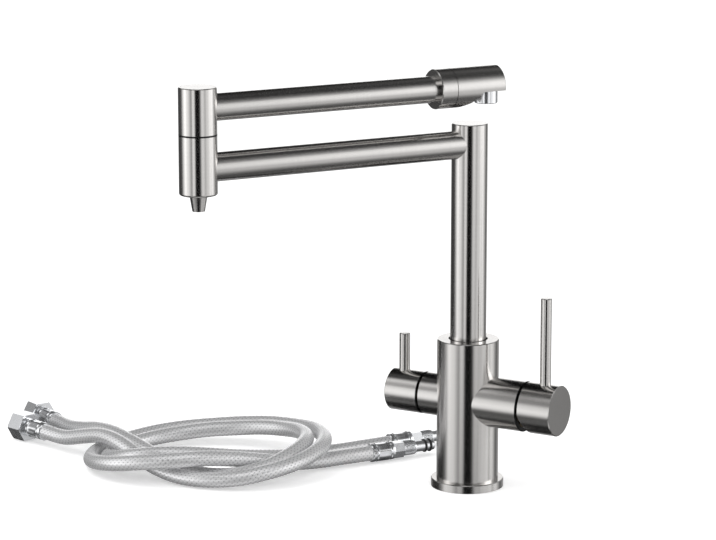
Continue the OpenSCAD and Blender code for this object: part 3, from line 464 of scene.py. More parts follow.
@dataclass(frozen=True)
class BrushedMetal(Finish):
    """Metal brushed round its axis: fine grooves spread the gloss along the axis and keep it narrow across.

    The skew turns the groove direction a little off the axis, so that it is also defined on flat ends.
    """

    axis: Axis = Axis.UPRIGHT
    spread: float = 0.85
    groove_depth: float = 0.0000012
    groove_width: float = 0.00022
    groove_length: float = 0.009
    unevenness: float = 0.06
    stain_width: float = 0.0006
    stain_length: float = 0.02
    stain: float = 0.04
    skew: float = 0.012

    def shade(self, nodes: Nodes, shader: bpy.types.Node) -> None:
        """Adds the groove direction, streaks in gloss and colour, and a faint relief.

        Args:
            nodes: Helper on the material's node tree.
            shader: The material's main shader.
        """
        shader.inputs["Metallic"].default_value = 1.0
        shader.inputs["Anisotropic"].default_value = self.spread
        x, y, z = self.axis.value
        across = nodes.add("ShaderNodeCombineXYZ")
        skewed = (x + self.skew * z, y + self.skew * x, z + self.skew * abs(x))
        for socket, value in zip(across.inputs, skewed):
            socket.default_value = value
        placed = nodes.add("ShaderNodeVectorTransform")
        placed.vector_type, placed.convert_from, placed.convert_to = "VECTOR", "OBJECT", "WORLD"
        nodes.join(across.outputs[0], placed.inputs[0])
        nodes.join(placed.outputs[0], shader.inputs["Tangent"])
        streaks = nodes.grain(self.axis, self.groove_width, self.groove_length, 3.0)
        rough = nodes.math("MULTIPLY_ADD", streaks, self.unevenness, self.roughness - self.unevenness / 2)
        nodes.join(rough, shader.inputs["Roughness"])
        stains = nodes.grain(self.axis, self.stain_width, self.stain_length, 2.0)
        darker = (*((1 - self.stain) * c for c in self.colour), 1)
        lighter = (*(min(1.0, (1 + self.stain) * c) for c in self.colour), 1)
        nodes.join(nodes.blend(stains, darker, lighter), shader.inputs["Base Color"])
        nodes.join(nodes.bump(streaks, self.groove_depth), shader.inputs["Normal"])


@dataclass(frozen=True)
class MetalWithPaintedSeamShade(BrushedMetal):
    """Brushed metal with painted shade: its colour goes dark in the groove beside a seam, where shade
    falls.
    """

    seam: float = 0.0
    reach: float = 0.00108
    dark: float = 0.04

    def shade(self, nodes: Nodes, shader: bpy.types.Node) -> None:
        """Paints shade into the groove: darkens the brushed colour where the place along the axis is within
        reach of the seam.

        Args:
            nodes: Helper on the material's node tree.
            shader: The material's main shader.
        """
        super().shade(nodes, shader)
        bright = shader.inputs["Base Color"].links[0].from_socket
        place = nodes.add("ShaderNodeSeparateXYZ")
        nodes.join(nodes.add("ShaderNodeTexCoord").outputs["Object"], place.inputs[0])
        along = place.outputs[2 if self.axis is Axis.UPRIGHT else 0]
        # Painted shade: within reach of the seam the colour goes to a dark grey
        painted_shade_mask = nodes.math("COMPARE", along, self.seam, self.reach)
        nodes.join(nodes.blend(painted_shade_mask, bright, grey(self.dark)), shader.inputs["Base Color"])


@dataclass(frozen=True)
class PolishedMetal(Finish):
    """Bright plated metal with the faintest waviness."""

    metal: float = 0.88
    wave_size: float = 0.004
    wave_depth: float = 0.00002

    def shade(self, nodes: Nodes, shader: bpy.types.Node) -> None:
        """Adds metal and a slight unevenness of the plating.

        Args:
            nodes: Helper on the material's node tree.
            shader: The material's main shader.
        """
        shader.inputs["Metallic"].default_value = self.metal
        waves = nodes.grain(Axis.UPRIGHT, self.wave_size, self.wave_size, 1.0)
        nodes.join(nodes.bump(waves, self.wave_depth), shader.inputs["Normal"])


@dataclass(frozen=True)
class BraidWire(Finish):
    """Stainless wire braid: each strand is a flat bundle of parallel wires, with shade between the bundles.

    A shade is a list of places and levels: across a wire from its side to its crest, and from the bottom of
    the weave to its top.
    """

    wires: int = 6
    metal: float = 0.55
    wire_shade: tuple[tuple[float, float], ...] = ((0.0, 0.85), (0.5, 1.0))
    weave_shade: tuple[tuple[float, float], ...] = ((0.0, 0.12), (0.3, 0.6), (0.65, 1.0))
    gap_colour: tuple[float, float, float] = (0.02, 0.02, 0.022)
    wire_depth: float = 0.00002

    def shade(self, nodes: Nodes, shader: bpy.types.Node) -> None:
        """Draws the wires of each strand from the piece's own attributes.

        Args:
            nodes: Helper on the material's node tree.
            shader: The material's main shader.
        """
        shader.inputs["Metallic"].default_value = self.metal
        across = nodes.add("ShaderNodeAttribute", attribute_name="across")
        height = nodes.add("ShaderNodeAttribute", attribute_name="height")
        wave = nodes.math("SINE", nodes.math("MULTIPLY", across.outputs["Fac"], self.wires * TURN))
        ridge = nodes.math("MULTIPLY_ADD", wave, 0.5, 0.5)
        depth = nodes.ramp(height.outputs["Fac"], self.weave_shade)
        shade = nodes.math("MULTIPLY", nodes.ramp(ridge, self.wire_shade), depth)
        tint = nodes.blend(shade, (*self.gap_colour, 1), (*self.colour, 1))
        nodes.join(tint, shader.inputs["Base Color"])
        nodes.join(nodes.bump(ridge, self.wire_depth), shader.inputs["Normal"])


@dataclass(frozen=True)
class Moulded(Finish):
    """Moulded or lapped material, such as rubber, plastic or ceramic, with a fine even texture."""

    texture: float = 0.00001
    grain_size: float = 0.0005

    def shade(self, nodes: Nodes, shader: bpy.types.Node) -> None:
        """Adds the mould's fine texture."""
        grain = nodes.grain(Axis.UPRIGHT, self.grain_size, self.grain_size, 2.0)
        nodes.join(nodes.bump(grain, self.texture), shader.inputs["Normal"])


@dataclass(frozen=True)
class PaleFloor(Finish):
    """A matt pale floor that also glows where the camera sees it, which brings it near white."""

    glow: float = 0.4

    def shade(self, nodes: Nodes, shader: bpy.types.Node) -> None:
        """Takes the gloss away and adds the glow.

        Args:
            nodes: Helper on the material's node tree.
            shader: The material's main shader.
        """
        shader.inputs["Specular IOR Level"].default_value = 0.0
        shader.inputs["Emission Color"].default_value = grey(1)
        seen = nodes.add("ShaderNodeLightPath")
        glow = nodes.math("MULTIPLY", seen.outputs["Is Camera Ray"], self.glow)
        nodes.join(glow, shader.inputs["Emission Strength"])


NICKEL = (0.66, 0.645, 0.63)
BRASS = (0.78, 0.6, 0.3)
STAINLESS = (0.68, 0.68, 0.69)
CHROME = PolishedMetal("polished_chrome", (0.86, 0.87, 0.89), 0.14)
BRAID = BraidWire("stainless_braid", (0.95, 0.95, 0.96), 0.25)
RUBBER = Moulded("black_rubber", (0.018, 0.018, 0.019), 0.55, texture=0.00004)
CERAMIC = Moulded("lapped_ceramic", (0.9, 0.89, 0.86), 0.2, texture=0.000002)
PLASTIC = Moulded("moulded_plastic", (0.82, 0.82, 0.8), 0.42)
DARK_PLASTIC = Moulded("dark_moulded_plastic", (0.03, 0.03, 0.032), 0.45)
# The hubs and the elbow get painted shade in the groove beside each seam
MIXER_HUB = MetalWithPaintedSeamShade("brushed_nickel_mixer_hub", NICKEL, 0.18, Axis.LEVERS, seam=0.04635)
FILTER_HUB = MetalWithPaintedSeamShade("brushed_nickel_filter_hub", NICKEL, 0.18, Axis.LEVERS, seam=-0.03285)
ELBOW = MetalWithPaintedSeamShade("brushed_nickel_elbow", NICKEL, 0.18, Axis.UPRIGHT, seam=0.2631, reach=0.0006)
# Painted shade: the cartridge nut's brass is made dark to stand for the shade in the seam between the mixer
# sleeve and its cap
BRASS_DARKENED_AS_SHADE = BrushedMetal("brass_darkened_as_painted_shade", (0.16, 0.12, 0.07), 0.45, Axis.LEVERS, 0.0, groove_depth=0.000002)


def nickel(axis: Axis) -> BrushedMetal:
    """Brushed nickel for a piece that is round about an axis."""
    return BrushedMetal("brushed_nickel_" + axis.name.lower(), NICKEL, 0.18, axis)


def brass(axis: Axis) -> BrushedMetal:
    """Turned brass for a hidden piece that is round about an axis."""
    return BrushedMetal("turned_brass_" + axis.name.lower(), BRASS, 0.3, axis)


def stainless(axis: Axis) -> BrushedMetal:
    """Turned stainless steel for a pin, screw or washer."""
    return BrushedMetal("turned_stainless_" + axis.name.lower(), STAINLESS, 0.24, axis)


# Sub-assemblies


@dataclass
class SubAssembly:
    """A group of CAD nodes with one finish each."""

    nodes: dict[str, bpy.types.Object]

    def finishes(self) -> dict[str, Finish]:
        """Names each node's finish."""
        return {}

    def build(self) -> None:
        """Dresses the nodes, and builds what the sub-assembly adds."""
        for node, finish in self.finishes().items():
            finish.dress(self.nodes[node])
            LOG.info("%s: %s is in %s", type(self).__name__, node, finish.name)


@dataclass
class FaucetBase(SubAssembly):
    """The body on its foot, the fixed halves of the hubs and the bearing of the column."""

    def finishes(self) -> dict[str, Finish]:
        """Puts nickel outside, and brass, plastic and ceramic inside.

        Returns:
            Each node's finish, by the node's name.
        """
        return {
            "base_flange": nickel(Axis.UPRIGHT),
            "faucet_body": nickel(Axis.UPRIGHT),
            "mixer_sleeve": MIXER_HUB,
            "filter_sleeve": FILTER_HUB,
            "deck_seal": RUBBER,
            "inlet_block": brass(Axis.UPRIGHT),
            "cartridge_housing": PLASTIC,
            "cartridge_fixed_disc": CERAMIC,
            # The nut's dark brass is painted shade in the seam
            "cartridge_nut": BRASS_DARKENED_AS_SHADE,
            "headwork_body": brass(Axis.LEVERS),
            "headwork_fixed_disc": CERAMIC,
            "column_glide_ring": DARK_PLASTIC,
            "column_thrust_washer": PLASTIC,
            "column_set_screw": stainless(Axis.SCREW),
        }


@dataclass
class Spout(SubAssembly):
    """The column, the two arms, the elbow between them and the spout head."""

    def finishes(self) -> dict[str, Finish]:
        """Brushes each piece round its own axis, and paints shade into the groove at the elbow.

        Returns:
            Each node's finish, by the node's name.
        """
        upright = nickel(Axis.UPRIGHT)
        along = nickel(Axis.ARMS)
        return {
            "column_tube": upright,
            "column_cap": upright,
            "swivel_spigot": brass(Axis.UPRIGHT),
            "spigot_o_rings": RUBBER,
            "filter_tube": PLASTIC,
            "lower_arm_tube": along,
            "elbow_lower_housing": ELBOW,
            "elbow_upper_housing": ELBOW,
            "elbow_top_cap": upright,
            "elbow_spindle": brass(Axis.UPRIGHT),
            "elbow_seam_washer": DARK_PLASTIC,
            "elbow_o_rings": RUBBER,
            "elbow_retaining_washer": stainless(Axis.UPRIGHT),
            "elbow_screw": stainless(Axis.UPRIGHT),
            "filter_nozzle": upright,
            "upper_arm_tube": along,
            "head_collar": along,
            "head_spigot": brass(Axis.ARMS),
            "head_o_ring": RUBBER,
            "head_clip": stainless(Axis.ARMS),
            "spout_head": along,
            "aerator_ring": CHROME,
            "aerator_insert": PLASTIC,
        }


@dataclass
class Levers(SubAssembly):
    """The mixer lever and the filtered-water lever with their valves."""

    def finishes(self) -> dict[str, Finish]:
        """Puts the caps in the finish of their hubs, and brushes the rods upright.

        Returns:
            Each node's finish, by the node's name.
        """
        rods = nickel(Axis.UPRIGHT)
        return {
            "cartridge_rotor": PLASTIC,
            "rotor_pivot_pin": stainless(Axis.SCREW),
            "cartridge_moving_disc": CERAMIC,
            "disc_carrier": PLASTIC,
            "mixer_stem": stainless(Axis.LEVERS),
            "mixer_cap": MIXER_HUB,
            "mixer_lever": rods,
            "mixer_grub_screw": stainless(Axis.UPRIGHT),
            "filter_spindle": brass(Axis.LEVERS),
            "headwork_moving_disc": CERAMIC,
            "filter_cap": FILTER_HUB,
            "filter_lever": rods,
            "filter_grub_screw": stainless(Axis.UPRIGHT),
        }


def turned_route(points: tuple[tuple[float, float, float], ...]) -> tuple[tuple[float, float, float], ...]:
    """Turns points in millimetres, right, away and up as the camera sees them, into the object's frame."""
    cos, sin = math.cos(VIEW_AZIMUTH), math.sin(VIEW_AZIMUTH)
    return tuple(((u * cos - v * sin) * MM, (u * sin + v * cos) * MM, z * MM) for u, v, z in points)


HOSE_A = turned_route((
    (-300.5, 137, 10), (-288.5, 120, 10), (-277, 103.5, 13), (-265.5, 87, 17), (-253, 71, 18.5),
    (-240.5, 55, 17), (-227, 39.5, 14), (-213.5, 25, 10.5), (-198, 11.5, 7.5), (-180.5, 1.5, 6),
    (-160.5, -2.5, 7.5), (-141, 1.5, 11.5), (-125, 13, 17), (-115.5, 30.5, 20), (-113, 51, 20.5),
    (-118.5, 70.5, 19.5), (-130, 87, 17), (-146.5, 99, 15), (-165.5, 106.5, 12.5), (-185.5, 108, 11),
    (-205.5, 105.5, 9), (-224.5, 97.5, 7.5), (-240, 84, 6.5), (-250.5, 66.5, 6), (-254, 46.5, 7.5),
    (-248.5, 27.5, 11.5), (-235, 13, 16.5), (-216.5, 6, 20), (-196, 6.5, 20), (-176.5, 12, 17.5),
    (-158.5, 21, 14), (-141, 31, 11), (-123.5, 41.5, 8.5), (-106, 52.5, 7.5), (-89, 63.5, 7),
    (-71.5, 74, 7), (-54, 84.5, 7),
))
HOSE_B = turned_route((
    (-304.5, 105, 10), (-289, 89.5, 10), (-274, 74, 15), (-259.5, 58.5, 19.5), (-245.5, 42, 18.5),
    (-231.5, 26, 13.5), (-216.5, 10.5, 8.5), (-199.5, -2.5, 6), (-180, -12, 6.5), (-158.5, -15, 8.5),
    (-137.5, -10.5, 12), (-119.5, 1.5, 15), (-106.5, 18.5, 18), (-100.5, 39.5, 19.5), (-101.5, 61, 19.5),
    (-109, 81.5, 18.5), (-122.5, 98.5, 16.5), (-140, 111, 15), (-160.5, 118.5, 13), (-182, 121.5, 11),
    (-204, 119.5, 9.5), (-224.5, 112.5, 8), (-242.5, 100, 6.5), (-256, 83.5, 6), (-264.5, 63.5, 6),
    (-266, 41.5, 7), (-259, 21, 10), (-245, 5, 13.5), (-226, -4.5, 17), (-204.5, -7, 19),
    (-183, -3.5, 19.5), (-163, 4.5, 17), (-144, 14.5, 13), (-125, 25.5, 8.5), (-106, 35.5, 7),
    (-86.5, 46, 7), (-67.5, 56.5, 7),
))


@dataclass(frozen=True)
class Ferrule:
    """A crimped ferrule, a sleeve with a bead at each end that dies have pressed onto the braid.

    Each bead has a soft edge, and a neck sets it off from the crimped stretch between the two. The nipple
    and its collar belong to the union nut's end.
    """

    length: float = 0.018
    radius: float = 0.0066
    way_radius: float = 0.003
    bead: float = 0.0024
    bead_edge: float = 0.0004
    bead_crown: float = 0.0001
    neck: float = 0.0006
    neck_depth: float = 0.0005
    dies: int = 8
    crimped_from: float = 0.0055
    crimped_rings: int = 6
    crimp_start: float = 0.0044
    crimp_run: float = 0.0012
    crimp_depth: float = 0.00035
    nipple_radius: float = 0.0042
    nipple_length: float = 0.0032
    collar_radius: float = 0.0066
    collar_face: float = 0.00005
    collar_length: float = 0.0028
    collar_chamfer: tuple[float, float] = (0.00022, 0.0003)
    sides: int = 96
    edge_angle: float = 35

    def skirt(self) -> list[tuple[float, float]]:
        """Draws the sleeve: bead, neck, the crimped stretch in even steps, neck and bead.

        Returns:
            Distances along the axis and radii, in metres.
        """
        top = self.radius
        low = top - self.neck_depth
        edge = (self.bead_edge, top - self.bead_crown)
        bead = [(0.0, low), edge, (self.bead / 2, top), (self.bead, top)]
        neck = [(self.bead + k * self.neck, radius) for k, radius in ((1, low), (2, low), (3, top))]
        stretch = np.linspace(self.crimped_from, self.length - self.crimped_from, self.crimped_rings)
        crimped = [(along, top) for along in stretch]
        far_end = [(self.length - along, radius) for along, radius in reversed(bead + neck)]
        return bead + neck + crimped + far_end

    def nipple(self) -> list[tuple[float, float]]:
        """Draws the nipple beyond the sleeve: a plain stretch and the collar that the union nut bears on.

        Returns:
            Distances along the axis and radii, in metres.
        """
        face = self.length + self.nipple_length
        back = face + self.collar_length
        chamfer_length, chamfer_depth = self.collar_chamfer
        return [
            (self.length, self.nipple_radius),
            (face, self.nipple_radius),
            (face + self.collar_face, self.collar_radius),
            (back, self.collar_radius),
            (back + chamfer_length, self.collar_radius - chamfer_depth),
        ]

    def skin(self, end: End, profile: list[tuple[float, float]]) -> tuple[np.ndarray, np.ndarray]:
        """Turns a profile about the hose's axis, and closes it along the waterway.

        Between the beads the dies press it in by the crimp's depth times the square of a cosine, one wave
        for each die round the ferrule. The depth fades in and out over the crimp's run.

        Args:
            end: The hose end that it sits on.
            profile: Distances along the axis and radii.

        Returns:
            The points and the quads.
        """
        outline = profile + [(profile[-1][0], self.way_radius), (0.0, self.way_radius)]
        along, radius = np.array(outline).T
        angle = np.linspace(0, TURN, self.sides, endpoint=False)
        from_start = np.clip((along - self.crimp_start) / self.crimp_run, 0, 1)
        to_stop = np.clip((self.length - self.crimp_start - along) / self.crimp_run, 0, 1)
        depth = self.crimp_depth * from_start * to_stop * (radius > self.way_radius)
        grid = radius[:, None] - depth[:, None] * np.cos(angle * self.dies / 2)[None, :] ** 2
        grid_along = np.broadcast_to(along[:, None], grid.shape)
        points = end.place(grid_along, grid, np.broadcast_to(angle, grid.shape)).reshape(-1, 3)
        quads = sealed_grid(len(outline), self.sides)
        if signed_volume(points, quads) < 0:
            quads = quads[:, ::-1]
        return points, quads


@dataclass(frozen=True)
class Thread:
    """A screw thread as a closed sleeve, its sizes in metres.

    The wall is the radius of its hidden side. The steepness and the flat shape its teeth.
    """

    start: float
    length: float
    root: float
    crest: float
    wall: float
    pitch: float
    steepness: float = 1.3
    flat: float = 0.15
    sides: int = 64
    rows_per_pitch: int = 10
    edge_angle: float = 50

    def skin(self, end: End, offset: float) -> tuple[np.ndarray, np.ndarray]:
        """Computes the sleeve's skin.

        The radius goes from root to crest as a triangle wave of distance over pitch minus the turn, with
        its tips cut flat, and fades in and out over one pitch at each end.

        Args:
            end: The hose end that it sits on.
            offset: Distance out of the hose that its start is counted from.

        Returns:
            The points and the quads.
        """
        start = offset + self.start
        stop = start + self.length
        rows = int(self.length / self.pitch * self.rows_per_pitch)
        angle = np.linspace(0, TURN, self.sides, endpoint=False)
        along = np.linspace(start, stop, rows)
        phase = (along[:, None] / self.pitch - angle[None, :] / TURN) % 1.0
        tooth = np.clip(self.steepness * (1 - np.abs(2 * phase - 1)) - self.flat, 0, 1)
        fade = np.clip((along - start) / self.pitch, 0, 1) * np.clip((stop - along) / self.pitch, 0, 1)
        flank = self.root + (self.crest - self.root) * tooth * fade[:, None]
        hidden = np.full((1, self.sides), self.wall)
        radius = np.concatenate([hidden, flank, hidden])
        along = np.concatenate([[start], along, [stop]])
        grid_along = np.broadcast_to(along[:, None], radius.shape)
        grid_angle = np.broadcast_to(angle[None, :], radius.shape)
        return end.place(grid_along, radius, grid_angle).reshape(-1, 3), sealed_grid(rows + 2, self.sides)


M10_OUTSIDE = Thread(start=0.0082, length=0.0096, root=0.00502, crest=0.0053, wall=0.0047, pitch=0.001)
G38_INSIDE = Thread(start=0.0068, length=0.0058, root=0.00748, crest=0.0069, wall=0.0078, pitch=0.001337)


@dataclass
class SupplyHose(SubAssembly):
    """A braided supply hose with a union nut at one end and an M10 tail at the other."""

    letter: str = "a"
    route: Route = Route(HOSE_A)
    body: str = "base"
    diameter: float = 0.011
    core: float = 0.00524
    carriers: int = 10
    lay: float = 0.0034
    strand_rise: float = 0.00016
    weave_rise: float = 0.0001
    ring_step: float = 0.00058
    sides: int = 60
    path_points: int = 400
    ferrule: Ferrule = Ferrule()

    def finishes(self) -> dict[str, Finish]:
        """Names each node's finish."""
        return {self.node("nut"): CHROME, self.node("tail"): CHROME}

    def node(self, part: str) -> str:
        """Name of one of the hose's CAD nodes or new pieces."""
        return f"hose_{self.letter}_{part}"

    def ends(self) -> tuple[End, End]:
        """Finds where the braid stops, and the way out of it, from the route's first and last points.

        Returns:
            The nut's end and the tail's end.
        """
        knots = np.array(self.route.points)
        nut = knots[0] - knots[1]
        tail = knots[-1] - knots[-2]
        return (
            End(tuple(knots[0]), tuple(nut / np.linalg.norm(nut))),
            End(tuple(knots[-1]), tuple(tail / np.linalg.norm(tail))),
        )

    def build(self) -> None:
        """Builds the braid, the crimped ferrules and the threads."""
        super().build()
        braid = self.braid()
        ferrules = self.ferrules()
        nut_end, tail_end = self.ends()
        self.build_thread("tail_thread", tail_end, M10_OUTSIDE)
        self.build_thread("nut_thread", nut_end, G38_INSIDE)
        self.route.length()
        self.route.at(self.path_points)

    def braid(self) -> bpy.types.Object:
        """Builds the woven braid round the route.

        The radius at distance s and angle a is that of the upper of two families of strands. One family
        turns right and one left, at a times carriers plus or minus s over the lay. A strand bulges as a
        parabola across its width, and rises and falls by a cosine where it passes over and under the other
        family.

        Returns:
            The braid's object.
        """
        length = self.route.length()
        rows = int(length / self.ring_step)
        curve = self.route.at(rows)
        _, side, rise = frames_along(curve)
        s = np.linspace(0, length, rows)[:, None]
        angle = np.linspace(0, TURN, self.sides, endpoint=False)[None, :]
        right = angle / TURN * self.carriers + s / self.lay
        left = angle / TURN * self.carriers - s / self.lay
        right_in, left_in = right - np.floor(right) - 0.5, left - np.floor(left) - 0.5
        right_up = np.cos(math.pi * (left - 0.5 + np.floor(right)))
        left_up = -np.cos(math.pi * (right - 0.5 + np.floor(left)))
        right_high = self.strand_rise * (1 - 4 * right_in**2) + self.weave_rise * right_up
        left_high = self.strand_rise * (1 - 4 * left_in**2) + self.weave_rise * left_up
        high = np.maximum(right_high, left_high)
        radius = self.core + high
        ring = np.cos(angle)[..., None] * side[:, None] + np.sin(angle)[..., None] * rise[:, None]
        points = (curve[:, None] + radius[..., None] * ring).reshape(-1, 3)
        first = list(range(self.sides))
        last = [(rows - 1) * self.sides + k for k in first]
        quads = tube_grid(rows, self.sides)
        piece = make_piece(self.node("woven_braid"), points, quads, [first[::-1], last])
        top = self.strand_rise + self.weave_rise
        self.attribute(piece, "height", (high / top).ravel())
        self.attribute(piece, "across", np.where(right_high > left_high, right_in, left_in).ravel() + 0.5)
        place_piece(piece, self.body, Slot.BRAID, BRAID, self.node("braid"))
        return piece

    @staticmethod
    def attribute(piece: bpy.types.Object, name: str, values: np.ndarray) -> None:
        """Stores one number at each vertex for the finish to read."""
        layer = piece.data.attributes.new(name, "FLOAT", "POINT")
        layer.data.foreach_set("value", values.astype(np.float32))

    def ferrules(self) -> bpy.types.Object:
        """Builds the two crimped ferrules, the nut's one with its collared nipple.

        Returns:
            The ferrules' object.
        """
        nut_end, tail_end = self.ends()
        nut_points, nut_quads = self.ferrule.skin(nut_end, self.ferrule.skirt() + self.ferrule.nipple())
        tail_points, tail_quads = self.ferrule.skin(tail_end, self.ferrule.skirt())
        points = np.concatenate([nut_points, tail_points])
        quads = np.concatenate([nut_quads, tail_quads + len(nut_points)])
        piece = make_piece(self.node("crimped_ferrules"), points, quads)
        keep_edges(piece, self.ferrule.edge_angle)
        place_piece(piece, self.body, Slot.CHROME, CHROME, self.node("ferrules"))
        return piece

    def build_thread(self, name: str, end: End, thread: Thread) -> None:
        """Builds a thread on one of the hose's ends, counted from where the ferrule stops.

        Args:
            name: Name of the thread, without the hose's.
            end: The hose end that it sits on.
            thread: Its sizes.
        """
        points, quads = thread.skin(end, self.ferrule.length)
        piece = make_piece(self.node(name), points, quads)
        keep_edges(piece, thread.edge_angle)
        place_piece(piece, self.body, Slot.CHROME, CHROME)


@dataclass
class SealRings(SubAssembly):
    """The O-rings on the tails of both hoses."""

    def finishes(self) -> dict[str, Finish]:
        """Names each node's finish."""
        return {"hose_o_rings": RUBBER}


# Studio


@dataclass
class PhotoCamera:
    """The camera at the photograph's viewpoint."""

    place: tuple[float, float, float] = (0.9787, -1.8115, 0.5811)
    lens: float = 153.56
    sensor: float = 36.0
    painted_shade_mask: float = 0.05
    far: float = 50

    def build(self) -> None:
        """Makes the camera and gives it to the scene."""
        data = bpy.data.cameras.new("photo_camera")
        data.lens = self.lens
        data.sensor_width = self.sensor
        data.clip_start, data.clip_end = self.painted_shade_mask, self.far
        forward = Vector((
            -math.sin(VIEW_AZIMUTH) * math.cos(VIEW_PITCH),
            math.cos(VIEW_AZIMUTH) * math.cos(VIEW_PITCH),
            -math.sin(VIEW_PITCH),
        ))
        camera = add_object("photo_camera", data)
        camera.matrix_world = aimed(self.place, forward)
        bpy.context.scene.camera = camera


@dataclass(frozen=True)
class Band:
    """A stretch of angles with soft ends, in degrees."""

    middle: float
    half: float
    fade: float

    def cover(self, angle: np.ndarray) -> np.ndarray:
        """Computes how far angles lie inside, as the product of two soft steps.

        A soft step is 1 / (1 + exp(-reach / fade)). The reach is half plus or minus the angle's offset.

        Args:
            angle: Angles in degrees.

        Returns:
            From 0 far outside to 1 in the middle.
        """
        offset = (angle - self.middle + 180) % 360 - 180
        from_one_end = 1 / (1 + np.exp(-(self.half + offset) / self.fade))
        from_the_other = 1 / (1 + np.exp(-(self.half - offset) / self.fade))
        return from_one_end * from_the_other


@dataclass(frozen=True)
class Panel:
    """A soft-edged light panel in the directions where the object sees it.

    The turn is counted from the camera towards the picture's right, the rise from the horizon up.
    """

    name: str
    turn: Band
    rise: Band
    level: float

    def glow(self, turn: np.ndarray, rise: np.ndarray) -> np.ndarray:
        """Computes the panel's level in directions: its level times the cover of its two bands.

        Args:
            turn: Turns of the directions, in degrees.
            rise: Rises of the directions, in degrees.

        Returns:
            The level in each direction.
        """
        return self.level * self.turn.cover(turn) * self.rise.cover(rise)


@dataclass(frozen=True)
class Lamp:
    """A square soft lamp that points at the object and that reflections don't see."""

    name: str
    place: tuple[float, float, float]
    size: float
    power: float
    target: tuple[float, float, float] = (-0.05, 0.0, 0.1)

    def build(self) -> None:
        """Makes the lamp."""
        data = bpy.data.lights.new(self.name, "AREA")
        data.size = self.size
        data.energy = self.power
        lamp = add_object(self.name, data)
        lamp.matrix_world = aimed(self.place, Vector(self.target) - Vector(self.place))
        lamp.visible_glossy = False


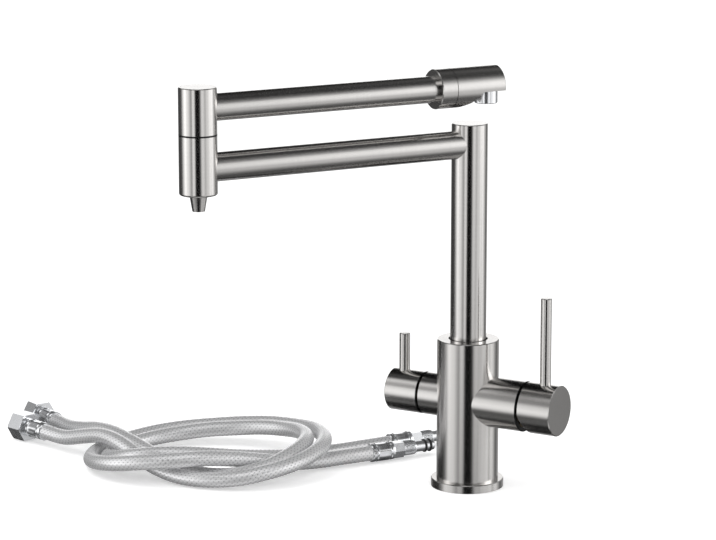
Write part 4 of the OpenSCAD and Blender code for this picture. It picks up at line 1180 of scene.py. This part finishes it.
@dataclass
class Studio:
    """A pale floor, soft lamps, and a dark tent with soft light panels that only reflections see."""

    floor_radius: float = 14.0
    floor_depth: float = 0.0002
    floor_finish: PaleFloor = PaleFloor("pale_floor", (0.93, 0.93, 0.93), 0.9)
    sky_level: float = 0.7
    tent_radius: float = 5.0
    tent_centre: tuple[float, float, float] = (0.0, 0.0, 0.15)
    tent_rows: int = 120
    tent_columns: int = 240
    tent_pole: float = 0.001
    tent_dim: float = 0.004
    lamps: tuple[Lamp, ...] = (
        Lamp("key_lamp", (-1.4, -1.2, 2.6), size=2.4, power=26.0),
        Lamp("fill_lamp", (2.2, -0.6, 2.2), size=2.4, power=16.0),
    )
    panels: tuple[Panel, ...] = (
        Panel("left wall", Band(-85, 14, 4), Band(21, 30, 3), 1.5),
        Panel("left front", Band(-67, 16, 4), Band(-1, 21, 4), 1.2),
        Panel("low left front", Band(-44, 10, 4), Band(-11, 12, 4), 0.7),
        Panel("left of the dark stripe", Band(-24, 8, 1.5), Band(-2, 14, 1), 1.15),
        Panel("far left", Band(-120, 11, 6), Band(25, 25, 7), 0.35),
        Panel("right wall", Band(83, 16, 3), Band(14, 18, 5), 3),
        Panel("tall right wall", Band(103, 10, 6), Band(-8, 32, 11), 1.2),
        Panel("right front", Band(56, 9, 3.5), Band(8, 19, 4), 1.2),
        Panel("right of the dark stripe", Band(29, 11, 2.5), Band(-2, 14, 3), 1.2),
        Panel("low right front", Band(61, 21, 1), Band(-23, 9, 5), 0.85),
        Panel("far right", Band(135, 13, 8), Band(30, 24, 3), 0.5),
        Panel("high front", Band(-20, 20, 8), Band(72, 10, 8), 0.3),
        Panel("back wall, for flat tops", Band(181, 20, 2), Band(6, 13, 2), 1.35),
        Panel("low back wall", Band(172, 34, 7), Band(-14, 13, 4), 0.5),
        Panel("hose light", Band(0, 34, 5), Band(53, 12, 2.5), 1.5),
        Panel("overhead", Band(0, 200, 1), Band(90, 9, 3.5), 0.55),
        Panel("front foot", Band(0, 50, 8), Band(-64, 14, 3), 0.5),
        Panel("back foot", Band(190, 22, 5), Band(-36, 8, 3), 0.5),
        Panel("underneath", Band(0, 200, 1), Band(-90, 14, 2), 0.5),
        Panel("left foot", Band(-39, 14, 3), Band(-48, 13, 3), 0.6),
        Panel("right foot", Band(42, 15, 3), Band(-48, 13, 3), 0.6),
        Panel("far left foot", Band(-92, 12, 4), Band(-40, 8, 3), 0.5),
    )

    def build(self) -> None:
        """Makes the floor, the world, the tent and the lamps."""
        self.floor()
        self.world()
        self.tent()
        for lamp in self.lamps:
            lamp.build()

    def floor(self) -> None:
        """Makes the pale floor, which keeps shadows and which reflections don't see."""
        points = np.array([(-1, -1, 0), (1, -1, 0), (1, 1, 0), (-1, 1, 0)], float) * self.floor_radius
        mesh = bpy.data.meshes.new("floor")
        mesh.from_pydata((points - (0, 0, self.floor_depth)).tolist(), [], [[0, 1, 2, 3]])
        mesh.materials.append(self.floor_finish.material())
        floor = add_object("floor", mesh)
        floor.visible_glossy = False

    def world(self) -> None:
        """Makes the world: white where the camera, gloss and glass see it, and soft light elsewhere."""
        world = bpy.data.worlds.new("studio")
        world.use_nodes = True
        nodes = Nodes(world.node_tree)
        seen = nodes.add("ShaderNodeLightPath")
        direct = nodes.math("MAXIMUM", seen.outputs["Is Camera Ray"], seen.outputs["Is Glossy Ray"])
        direct = nodes.math("MAXIMUM", direct, seen.outputs["Is Transmission Ray"])
        strength = nodes.math("MULTIPLY_ADD", direct, 1 - self.sky_level, self.sky_level)
        light = nodes.add("ShaderNodeBackground")
        light.inputs["Color"].default_value = grey(1)
        nodes.join(strength, light.inputs["Strength"])
        output = nodes.add("ShaderNodeOutputWorld")
        nodes.join(light.outputs["Background"], output.inputs["Surface"])
        bpy.context.scene.world = world

    def tent(self) -> None:
        """Makes the light tent, a globe whose points glow by the panels in their directions."""
        tall = np.linspace(self.tent_pole, math.pi - self.tent_pole, self.tent_rows)[:, None]
        angle = np.linspace(0, TURN, self.tent_columns, endpoint=False)[None, :]
        level = np.sin(tall)
        height = np.cos(tall) + 0 * angle
        unit = np.stack([level * np.cos(angle), level * np.sin(angle), height], -1).reshape(-1, 3)
        mesh = bpy.data.meshes.new("light_tent")
        quads = tube_grid(self.tent_rows, self.tent_columns)
        mesh.from_pydata((unit * self.tent_radius).tolist(), [], quads.tolist())
        layer = mesh.attributes.new("glow", "FLOAT", "POINT")
        layer.data.foreach_set("value", self.levels(unit).astype(np.float32))
        mesh.materials.append(self.tent_glow())
        tent = add_object("light_tent", mesh)
        tent.location = self.tent_centre
        tent.visible_camera = False
        tent.visible_diffuse = False
        tent.visible_transmission = False
        tent.visible_volume_scatter = False
        tent.visible_shadow = False

    def levels(self, unit: np.ndarray) -> np.ndarray:
        """Adds up the panels' levels.

        Args:
            unit: Unit vectors from the tent's centre, three numbers in a row.

        Returns:
            The level in each direction.
        """
        toward = unit @ (math.sin(VIEW_AZIMUTH), -math.cos(VIEW_AZIMUTH), 0)
        right = unit @ (math.cos(VIEW_AZIMUTH), math.sin(VIEW_AZIMUTH), 0)
        turn = np.degrees(np.arctan2(right, toward))
        rise = np.degrees(np.arcsin(unit[:, 2]))
        return self.tent_dim + sum(panel.glow(turn, rise) for panel in self.panels)

    @staticmethod
    def tent_glow() -> bpy.types.Material:
        """Makes the tent's material, which glows by the level at each point.

        Returns:
            The tent's material.
        """
        glow = bpy.data.materials.new("light_tent")
        glow.use_nodes = True
        glow.cycles.emission_sampling = "NONE"
        nodes = Nodes(glow.node_tree)
        level = nodes.add("ShaderNodeAttribute", attribute_name="glow")
        light = nodes.add("ShaderNodeEmission")
        nodes.join(level.outputs["Fac"], light.inputs["Strength"])
        output = nodes.add("ShaderNodeOutputMaterial")
        nodes.join(light.outputs["Emission"], output.inputs["Surface"])
        return glow


def main() -> None:
    """Builds the camera, the hoses, the finishes and the studio."""
    logging.basicConfig(level=logging.INFO, format="%(name)s: %(message)s")
    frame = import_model()
    bpy.context.scene.view_settings.view_transform = "Standard"
    nodes = frame["nodes"]
    PhotoCamera().build()
    SupplyHose(nodes, "a", Route(HOSE_A)).build()
    SupplyHose(nodes, "b", Route(HOSE_B)).build()
    SealRings(nodes).build()
    FaucetBase(nodes).build()
    Spout(nodes).build()
    Levers(nodes).build()
    Studio().build()


if __name__ == "__main__":
    main()
